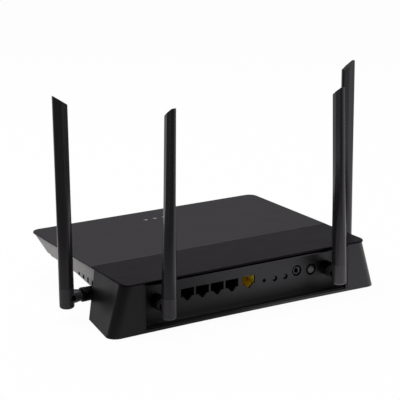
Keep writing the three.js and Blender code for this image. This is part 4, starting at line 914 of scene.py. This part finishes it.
def blade_ring(z, margin=0.0):
    """Section of the blade: round at its foot, and higher up thin and blunt at each end, with a
    ridge along each side. The margin draws it in, for the rounding of the foot."""
    ridged = smoothstep(z, BLADE_ROUND_Z, BLADE_RIDGE_Z)
    rise = min((z + BLADE_FOOT) / (BLADE_RIDGE_Z + BLADE_FOOT), 1)
    half_depth = BLADE_FOOT_RADIUS + (BLADE_DEPTH / 2 - BLADE_FOOT_RADIUS) * rise - margin
    half_round = BLADE_FOOT_RADIUS - BLADE_TAPER * (z + BLADE_FOOT) - margin
    thinner = BLADE_THINNING * (z - BLADE_RIDGE_Z)
    half_nose = (BLADE_NOSE_WIDTH - thinner) / 2
    ridge = (BLADE_RIDGE_X, (BLADE_RIDGE_WIDTH - thinner) / 2)
    turn = math.degrees(math.asin(half_nose / BLADE_NOSE_RADIUS))
    nose = arc((half_depth - BLADE_NOSE_RADIUS, 0), BLADE_NOSE_RADIUS, 0, turn, 5)
    # A small shoulder stands where the nose meets the flank
    x, y = nose.pop()
    nose += [(x + 0.18, y - 0.22), (x + 0.05, y - 0.07), (x - 0.14, y + 0.03), (x - 0.45, y + 0.06)]
    back_nose = [(-x, y) for x, y in reversed(nose)]
    shares = [i / RIDGE_STEPS for i in range(1, RIDGE_STEPS)]
    front = nose + [mix_points(nose[-1], ridge, share) for share in shares]
    back = [mix_points(ridge, back_nose[0], share) for share in shares] + back_nose
    half = front + [ridge] + back
    outline = half + [(x, -y) for x, y in reversed(half[1:-1])]
    points = []
    for i, (x, y) in enumerate(outline):
        angle = 2 * math.pi * i / len(outline)
        around = (half_depth * math.cos(angle), half_round * math.sin(angle))
        u, v = mix_points(around, (x, y), ridged)
        points.append((BLADE_OFFSET + u, v, z))
    return points


def blade_body(tip_z):
    """The whole blade with a rounded foot, and the round cheeks of its knuckle joined to it."""
    foot_z = -BLADE_FOOT
    rings = []
    for angle in (90, 75, 60, 45, 30, 15, 0):
        turn = math.radians(angle)
        rise, margin = FOOT_ROUND * (1 - math.sin(turn)), FOOT_ROUND * (1 - math.cos(turn))
        rings.append(blade_ring(foot_z + rise, margin))
    heights = [foot_z + FOOT_ROUND + NEAR_STEP * (i + 1) for i in range(20)]
    heights += [heights[-1] + FAR_STEP * (i + 1) for i in range(4)] + [tip_z + 1]
    rings += [blade_ring(z) for z in heights]
    body = mesh_from("blade", *loft(rings))
    end_x = -BLADE_FOOT - 1
    cheeks = mesh_from("knuckle", *turned([
        (end_x, ON_AXIS), (end_x, KNUCKLE_END_RADIUS - 0.15), (HEEL_TOP_X - 0.4, KNUCKLE_RADIUS),
        (BLADE_OFFSET - 1, KNUCKLE_RADIUS), (BLADE_OFFSET - 1, ON_AXIS)], 64))
    sweep = mesh_from("sweep", *prism(arc((0, 0), BLADE_FOOT, 0, 357, 119), -BEYOND, BEYOND))
    return boolean(body, boolean(cheeks, sweep, "INTERSECT"), "UNION")


def blade_cutters(tip_z):
    """What is cut from a blade, as (outline, start, end): the tongue's slot, the slanted heel, the
    mitred tip, the pin's hole and the two seats of its heads."""
    slot = [(-BEYOND, SLOT_ROOM)] + arc((0, 0), SLOT_ROOM, 90, 0, 16)
    slot += [(SLOT_ROOM, -BEYOND), (-BEYOND, -BEYOND)]
    heel = [(-BEYOND, HEEL_Z), (HEEL_TOP_X, HEEL_Z), (HEEL_FOOT_X, -BLADE_FOOT),
            (HEEL_FOOT_X, -BEYOND), (-BEYOND, -BEYOND)]
    slant = math.tan(math.radians(BLADE_SLANT))
    nose_x = BLADE_OFFSET + BLADE_DEPTH / 2
    tip = [
        (nose_x + 1, tip_z + slant), (nose_x + 1, tip_z + BEYOND),
        (-BEYOND, tip_z + BEYOND), (-BEYOND, tip_z - (nose_x + BEYOND) * slant)]
    seat = arc((0, 0), SEAT_RADIUS, 0, 350, 35)
    return (
        (slot, -SLOT_HALF, SLOT_HALF), (heel, -BEYOND, BEYOND), (tip, -BEYOND, BEYOND),
        (pin_hole(), -BEYOND, BEYOND), (seat, SEAT_Y, BEYOND), (seat, -BEYOND, -SEAT_Y))


def pin_hole():
    """Outline of the hole for the hinge pin."""
    return arc((0, 0), PIN_HOLE, 0, 345, 23)


def kept_part(mesh, low, high):
    """What is left of a blade between two heights."""
    outline = [(-BEYOND, low), (BEYOND, low), (BEYOND, high), (-BEYOND, high)]
    return boolean(mesh, mesh_from("kept", *prism(outline, -BEYOND, BEYOND)), "INTERSECT")


def blade_mesh(length):
    """A finished blade, parted by a fine seam into the cap at its foot and the stem above."""
    tip_z = length - BLADE_FOOT
    body = blade_body(tip_z)
    for outline, start, end in blade_cutters(tip_z):
        body = boolean(body, mesh_from("cutter", *prism(outline, start, end)))

    def tip_edge(edge):
        if min(v.co.z for v in edge.verts) < (tip_z - 2 * BLADE_DEPTH) * MM or fold_angle(edge) < TIP_FOLD:
            return False
        return any(TIP_FACING[0] < face.normal.z < TIP_FACING[1] for face in edge.link_faces)

    bevel_edges(body, TIP_BEVEL, tip_edge)
    cap = kept_part(body.copy(), -BEYOND, CAP_TOP_Z)
    stem = kept_part(body, CAP_TOP_Z + CAP_SEAM, 2 * length)
    return cap, stem


def swivel_mesh():
    """Knurled barrel with a flat tongue."""
    shoulder = -MOUNT_REACH + MOUNT_FLANGE + GAP
    collar = -MOUNT_REACH - SLEEVE_LENGTH - GAP
    low = BARREL_RADIUS - BARREL_GROOVE
    knurled = BARREL_RADIUS - KNURL_DEPTH
    profile = [
        (collar - COLLAR, STUB_BORE), (collar - COLLAR, COLLAR_RADIUS), (collar, COLLAR_RADIUS),
        (collar, STUB_RADIUS), (shoulder, STUB_RADIUS), (shoulder, low), (shoulder + 0.35, low),
        (shoulder + 0.45, knurled), (shoulder + 2.3, knurled),
        (shoulder + 2.4, low), (shoulder + 2.75, low), (shoulder + 2.85, BARREL_RADIUS),
        (BARREL_END_X - BARREL_EDGE, BARREL_RADIUS), (BARREL_END_X, BARREL_RADIUS - BARREL_EDGE),
        (BARREL_END_X, STUB_BORE)]

    def wave(k, angle):
        return KNURL_DEPTH * math.cos(KNURLS * angle) if profile[k][1] == knurled else 0

    barrel = mesh_from("barrel", *turned(profile, 6 * KNURLS, wave))
    root = BARREL_END_X - 1
    tongue = arc((0, 0), TONGUE_RADIUS, -90, 90, 36) + [(root, TONGUE_RADIUS), (root, -TONGUE_RADIUS)]
    plate = mesh_from("tongue", *prism(tongue, -TONGUE_HALF, TONGUE_HALF))
    bevel_edges(plate, TONGUE_BEVEL, lambda edge: fold_angle(edge) > SHARP_FOLD)
    hole = mesh_from("hole", *prism(pin_hole(), -BLADE_DEPTH, BLADE_DEPTH))
    return boolean(boolean(barrel, plate, "UNION"), hole)


def mount_mesh():
    """Sleeve through the wall and the grooved collar that stands on it."""
    wall = -MOUNT_REACH
    bore = STUB_RADIUS + GAP
    low = MOUNT_RADIUS - MOUNT_GROOVE
    return mesh_from("mount", *turned([
        (wall - SLEEVE_LENGTH, bore), (wall - SLEEVE_LENGTH, SLEEVE_RADIUS), (wall + GAP, SLEEVE_RADIUS),
        (wall + GAP, MOUNT_RADIUS), (wall + 1.6, MOUNT_RADIUS), (wall + 1.75, low), (wall + 2.05, low),
        (wall + 2.2, MOUNT_RADIUS), (wall + MOUNT_FLANGE - MOUNT_EDGE, MOUNT_RADIUS),
        (wall + MOUNT_FLANGE, MOUNT_RADIUS - MOUNT_EDGE), (wall + MOUNT_FLANGE, bore)], 96))


def pin_mesh():
    """Hinge pin with a domed head at each end."""
    inner = SEAT_Y + GAP
    dome = [(inner + PIN_HEAD * math.sin(math.radians(a)), PIN_HEAD_RADIUS * math.cos(math.radians(a)))
            for a in range(0, 90, 15)]
    right = [(inner, PIN_RADIUS), (inner, PIN_HEAD_RADIUS)] + dome[1:] + [(inner + PIN_HEAD, ON_AXIS)]
    left = [(-x, r) for x, r in reversed(right)]
    return mesh_from("pin", *turned(left + right, 32), TO_REAR)


def build_antennas():
    """The five pieces of each antenna, made once a kind and set on the four hinges."""
    blades = {kind: blade_mesh(length) for kind, length in BLADE_LENGTHS.items()}
    swivel, mount, pin = swivel_mesh(), mount_mesh(), pin_mesh()
    upright = Matrix()
    for antenna in ANTENNAS:
        kind = antenna.split("_")[0]
        cap, stem = blades[kind]
        splay = Matrix.Rotation(math.radians(BLADE_SPLAYS[kind]), 4, "Y")
        blade_link, swivel_link = f"blade_{antenna}", f"swivel_{antenna}"
        for part, shape, turn, body, slot, look, nodes in (
                ("antenna_blade", stem, splay, blade_link, "antenna_black", "antenna_black",
                 ["antenna_blade"]),
                ("antenna_foot", cap, splay, blade_link, "antenna_black", "antenna_foot", []),
                ("antenna_swivel", swivel, upright, swivel_link, "swivel_black", "swivel_black",
                 ["antenna_swivel"]),
                ("antenna_mount", mount, upright, ROOT, "swivel_black", "swivel_black", ["antenna_mount"]),
                ("hinge_pin", pin, upright, swivel_link, "swivel_black", "swivel_black", ["hinge_pin"])):
            mesh = shape.copy()
            mesh.transform(antenna_frame(antenna) @ turn)
            replaced = [f"{node}_{antenna}" for node in nodes]
            piece(f"{part}_{antenna}_fine", mesh, body, LOOKS[look], replaced, ANTENNA_LIMIT)


# ------------------------------------------------------------------ carried-over CAD nodes

def paint_frame():
    """Every CAD node that stays gets the look of its own slot."""
    for obj in frame["nodes"].values():
        for holder in obj.material_slots:
            holder.material = LOOKS[plain_name(holder.material)]


# ------------------------------------------------------------------ floor, light and camera

def background_rays(tree):
    """1 for the rays that show the background: camera, glossy and transmitted ones."""
    rays = tree.nodes.new("ShaderNodeLightPath")
    total = rays.outputs["Is Camera Ray"]
    for name in ("Is Glossy Ray", "Is Transmission Ray"):
        joined = tree.nodes.new("ShaderNodeMath")
        joined.operation = "MAXIMUM"
        tree.links.new(total, joined.inputs[0])
        tree.links.new(rays.outputs[name], joined.inputs[1])
        total = joined.outputs[0]
    return total


def maths(tree, operation, *values):
    """The result of one operation on numbers or sockets."""
    node = tree.nodes.new("ShaderNodeMath")
    node.operation = operation
    for socket, value in zip(node.inputs, values):
        if isinstance(value, (int, float)):
            socket.default_value = value
        else:
            tree.links.new(value, socket)
    return node.outputs[0]


def rising(tree, value, low, high):
    """0 below low, 1 above high and smooth between."""
    node = tree.nodes.new("ShaderNodeMapRange")
    node.interpolation_type = "SMOOTHSTEP"
    node.inputs["From Min"].default_value = low
    node.inputs["From Max"].default_value = high
    tree.links.new(value, node.inputs["Value"])
    return node.outputs["Result"]


def towards(tree, direction, degrees):
    """How far a direction points to an azimuth, from -1 to 1."""
    unit = tree.nodes.new("ShaderNodeVectorMath")
    unit.operation = "NORMALIZE"
    tree.links.new(direction, unit.inputs[0])
    dot = tree.nodes.new("ShaderNodeVectorMath")
    dot.operation = "DOT_PRODUCT"
    azimuth = math.radians(degrees)
    dot.inputs[1].default_value = (math.sin(azimuth), -math.cos(azimuth), 0)
    tree.links.new(unit.outputs[0], dot.inputs[0])
    return dot.outputs["Value"]


def vector_length(tree, direction):
    node = tree.nodes.new("ShaderNodeVectorMath")
    node.operation = "LENGTH"
    tree.links.new(direction, node.inputs[0])
    return node.outputs["Value"]


def painted_floor_reflection(tree):
    """What the floor shows to glossy rays, a painted reflection: a level by place, and 1 to the camera."""
    place = tree.nodes.new("ShaderNodeTexCoord").outputs["Object"]
    lit = towards(tree, place, LIGHT_SIDE)
    near = maths(tree, "SUBTRACT", 1.0, rising(tree, vector_length(tree, place), *NEAR_FLOOR))
    level = maths(tree, "MULTIPLY_ADD", rising(tree, lit, *NEAR_SIDE), 1 - NEAR_DIM, NEAR_DIM)
    near = maths(tree, "MULTIPLY", near, level)
    front = rising(tree, towards(tree, place, 0), *FRONT)
    dip = maths(tree, "MULTIPLY_ADD", front, -FLOOR_FRONT_DIP * SIDE_LEVEL, SIDE_LEVEL)
    side = maths(tree, "MULTIPLY", rising(tree, lit, *FLOOR_SIDE), dip)
    sheen = maths(tree, "MAXIMUM", maths(tree, "MAXIMUM", near, side), FLOOR_DIM)
    seen = tree.nodes.new("ShaderNodeLightPath").outputs["Is Camera Ray"]
    return maths(tree, "MAXIMUM", sheen, seen)


def floor_look():
    """Matte white that takes the shadow, mixed with its own glow for the background rays, which in
    reflections is a painted reflection pattern.
    """
    look = bpy.data.materials.new("floor")
    look.use_nodes = True
    tree = look.node_tree
    tree.nodes.clear()
    output = tree.nodes.new("ShaderNodeOutputMaterial")
    diffuse = tree.nodes.new("ShaderNodeBsdfDiffuse")
    diffuse.inputs["Color"].default_value = (FLOOR_WHITE, FLOOR_WHITE, FLOOR_WHITE, 1)
    glow = tree.nodes.new("ShaderNodeEmission")
    tree.links.new(painted_floor_reflection(tree), glow.inputs["Strength"])
    mix = tree.nodes.new("ShaderNodeMixShader")
    tree.links.new(maths(tree, "MULTIPLY", background_rays(tree), FLOOR_GLOW), mix.inputs[0])
    tree.links.new(diffuse.outputs[0], mix.inputs[1])
    tree.links.new(glow.outputs[0], mix.inputs[2])
    tree.links.new(mix.outputs[0], output.inputs["Surface"])
    return look


def build_floor():
    mesh = bpy.data.meshes.new("floor")
    near, far = -FLOOR_HALF, FLOOR_HALF
    mesh.from_pydata([(near, near, 0), (far, near, 0), (far, far, 0), (near, far, 0)], [], [(0, 1, 2, 3)])
    mesh.materials.append(floor_look())
    new_object("floor", mesh)


def blended(tree, factor, first, second):
    """The first colour where the factor is 0 and the second, one even level, where it is 1."""
    node = tree.nodes.new("ShaderNodeMix")
    node.data_type = "RGBA"
    tree.links.new(factor, node.inputs["Factor"])
    tree.links.new(first, node.inputs["A"])
    node.inputs["B"].default_value = (second, second, second, 1)
    return node.outputs["Result"]


def build_world():
    """Studio with a light side and a dark side, one level overhead, and white to the camera."""
    world = bpy.data.worlds.new("studio")
    bpy.context.scene.world = world
    world.use_nodes = True
    tree = world.node_tree
    place = tree.nodes.new("ShaderNodeTexCoord").outputs["Generated"]
    facing = maths(tree, "MULTIPLY_ADD", towards(tree, place, LIGHT_SIDE), 0.5, 0.5)
    ramp = tree.nodes.new("ShaderNodeValToRGB")
    stops = ramp.color_ramp.elements
    for i, (at, level) in enumerate(WORLD_STOPS):
        stop = stops[i] if i < 2 else stops.new(at)
        stop.position = at
        stop.color = (level, level, level, 1)
    tree.links.new(facing, ramp.inputs["Fac"])
    split = tree.nodes.new("ShaderNodeSeparateXYZ")
    tree.links.new(place, split.inputs[0])
    height = rising(tree, split.outputs["Z"], *OVERHEAD)
    overhead = blended(tree, height, ramp.outputs["Color"], WORLD_TOP)
    seen = tree.nodes.new("ShaderNodeLightPath").outputs["Is Camera Ray"]
    white = blended(tree, seen, overhead, 1.0)
    sky = next(node for node in tree.nodes if node.type == "BACKGROUND")
    tree.links.new(white, sky.inputs["Color"])
    sky.inputs["Strength"].default_value = 1.0


def softbox(name, place, size, power):
    """A square of light that faces the router."""
    light = bpy.data.lights.new(name, "AREA")
    light.shape = "RECTANGLE"
    light.size, light.size_y = size
    light.energy = power
    obj = bpy.data.objects.new(name, light)
    bpy.context.scene.collection.objects.link(obj)
    obj.location = place
    obj.rotation_euler = (Vector(BOX_AIM) - Vector(place)).to_track_quat("-Z", "Y").to_euler()


def build_camera():
    """The camera of the photo, given by the direction and distance it looks from."""
    azimuth, height = math.radians(VIEW_AZIMUTH), math.radians(VIEW_HEIGHT)
    level = math.cos(height)
    outwards = Vector((math.sin(azimuth) * level, -math.cos(azimuth) * level, math.sin(height)))
    camera = bpy.data.cameras.new("camera")
    camera.lens = VIEW_LENS
    camera.sensor_width = 36
    camera.clip_end = 50
    obj = bpy.data.objects.new("camera", camera)
    bpy.context.scene.collection.objects.link(obj)
    turn = outwards.to_track_quat("Z", "Y").to_matrix().to_4x4()
    roll = Matrix.Rotation(math.radians(VIEW_ROLL), 4, "Z")
    obj.matrix_world = Matrix.Translation(Vector(VIEW_AIM) + VIEW_DISTANCE * outwards) @ turn @ roll
    bpy.context.scene.camera = obj


def main():
    build_camera()
    paint_frame()
    build_deck()
    build_housing()
    build_panel()
    build_plain_pieces()
    build_vent_painted_shade()
    build_buttons()
    build_supply_jack()
    build_deck_marks()
    build_feet()
    build_antennas()
    build_floor()
    build_world()
    softbox("softbox_top", BOX_PLACE, BOX_SIZE, BOX_POWER)
    bpy.context.scene.view_settings.view_transform = "Standard"


main()
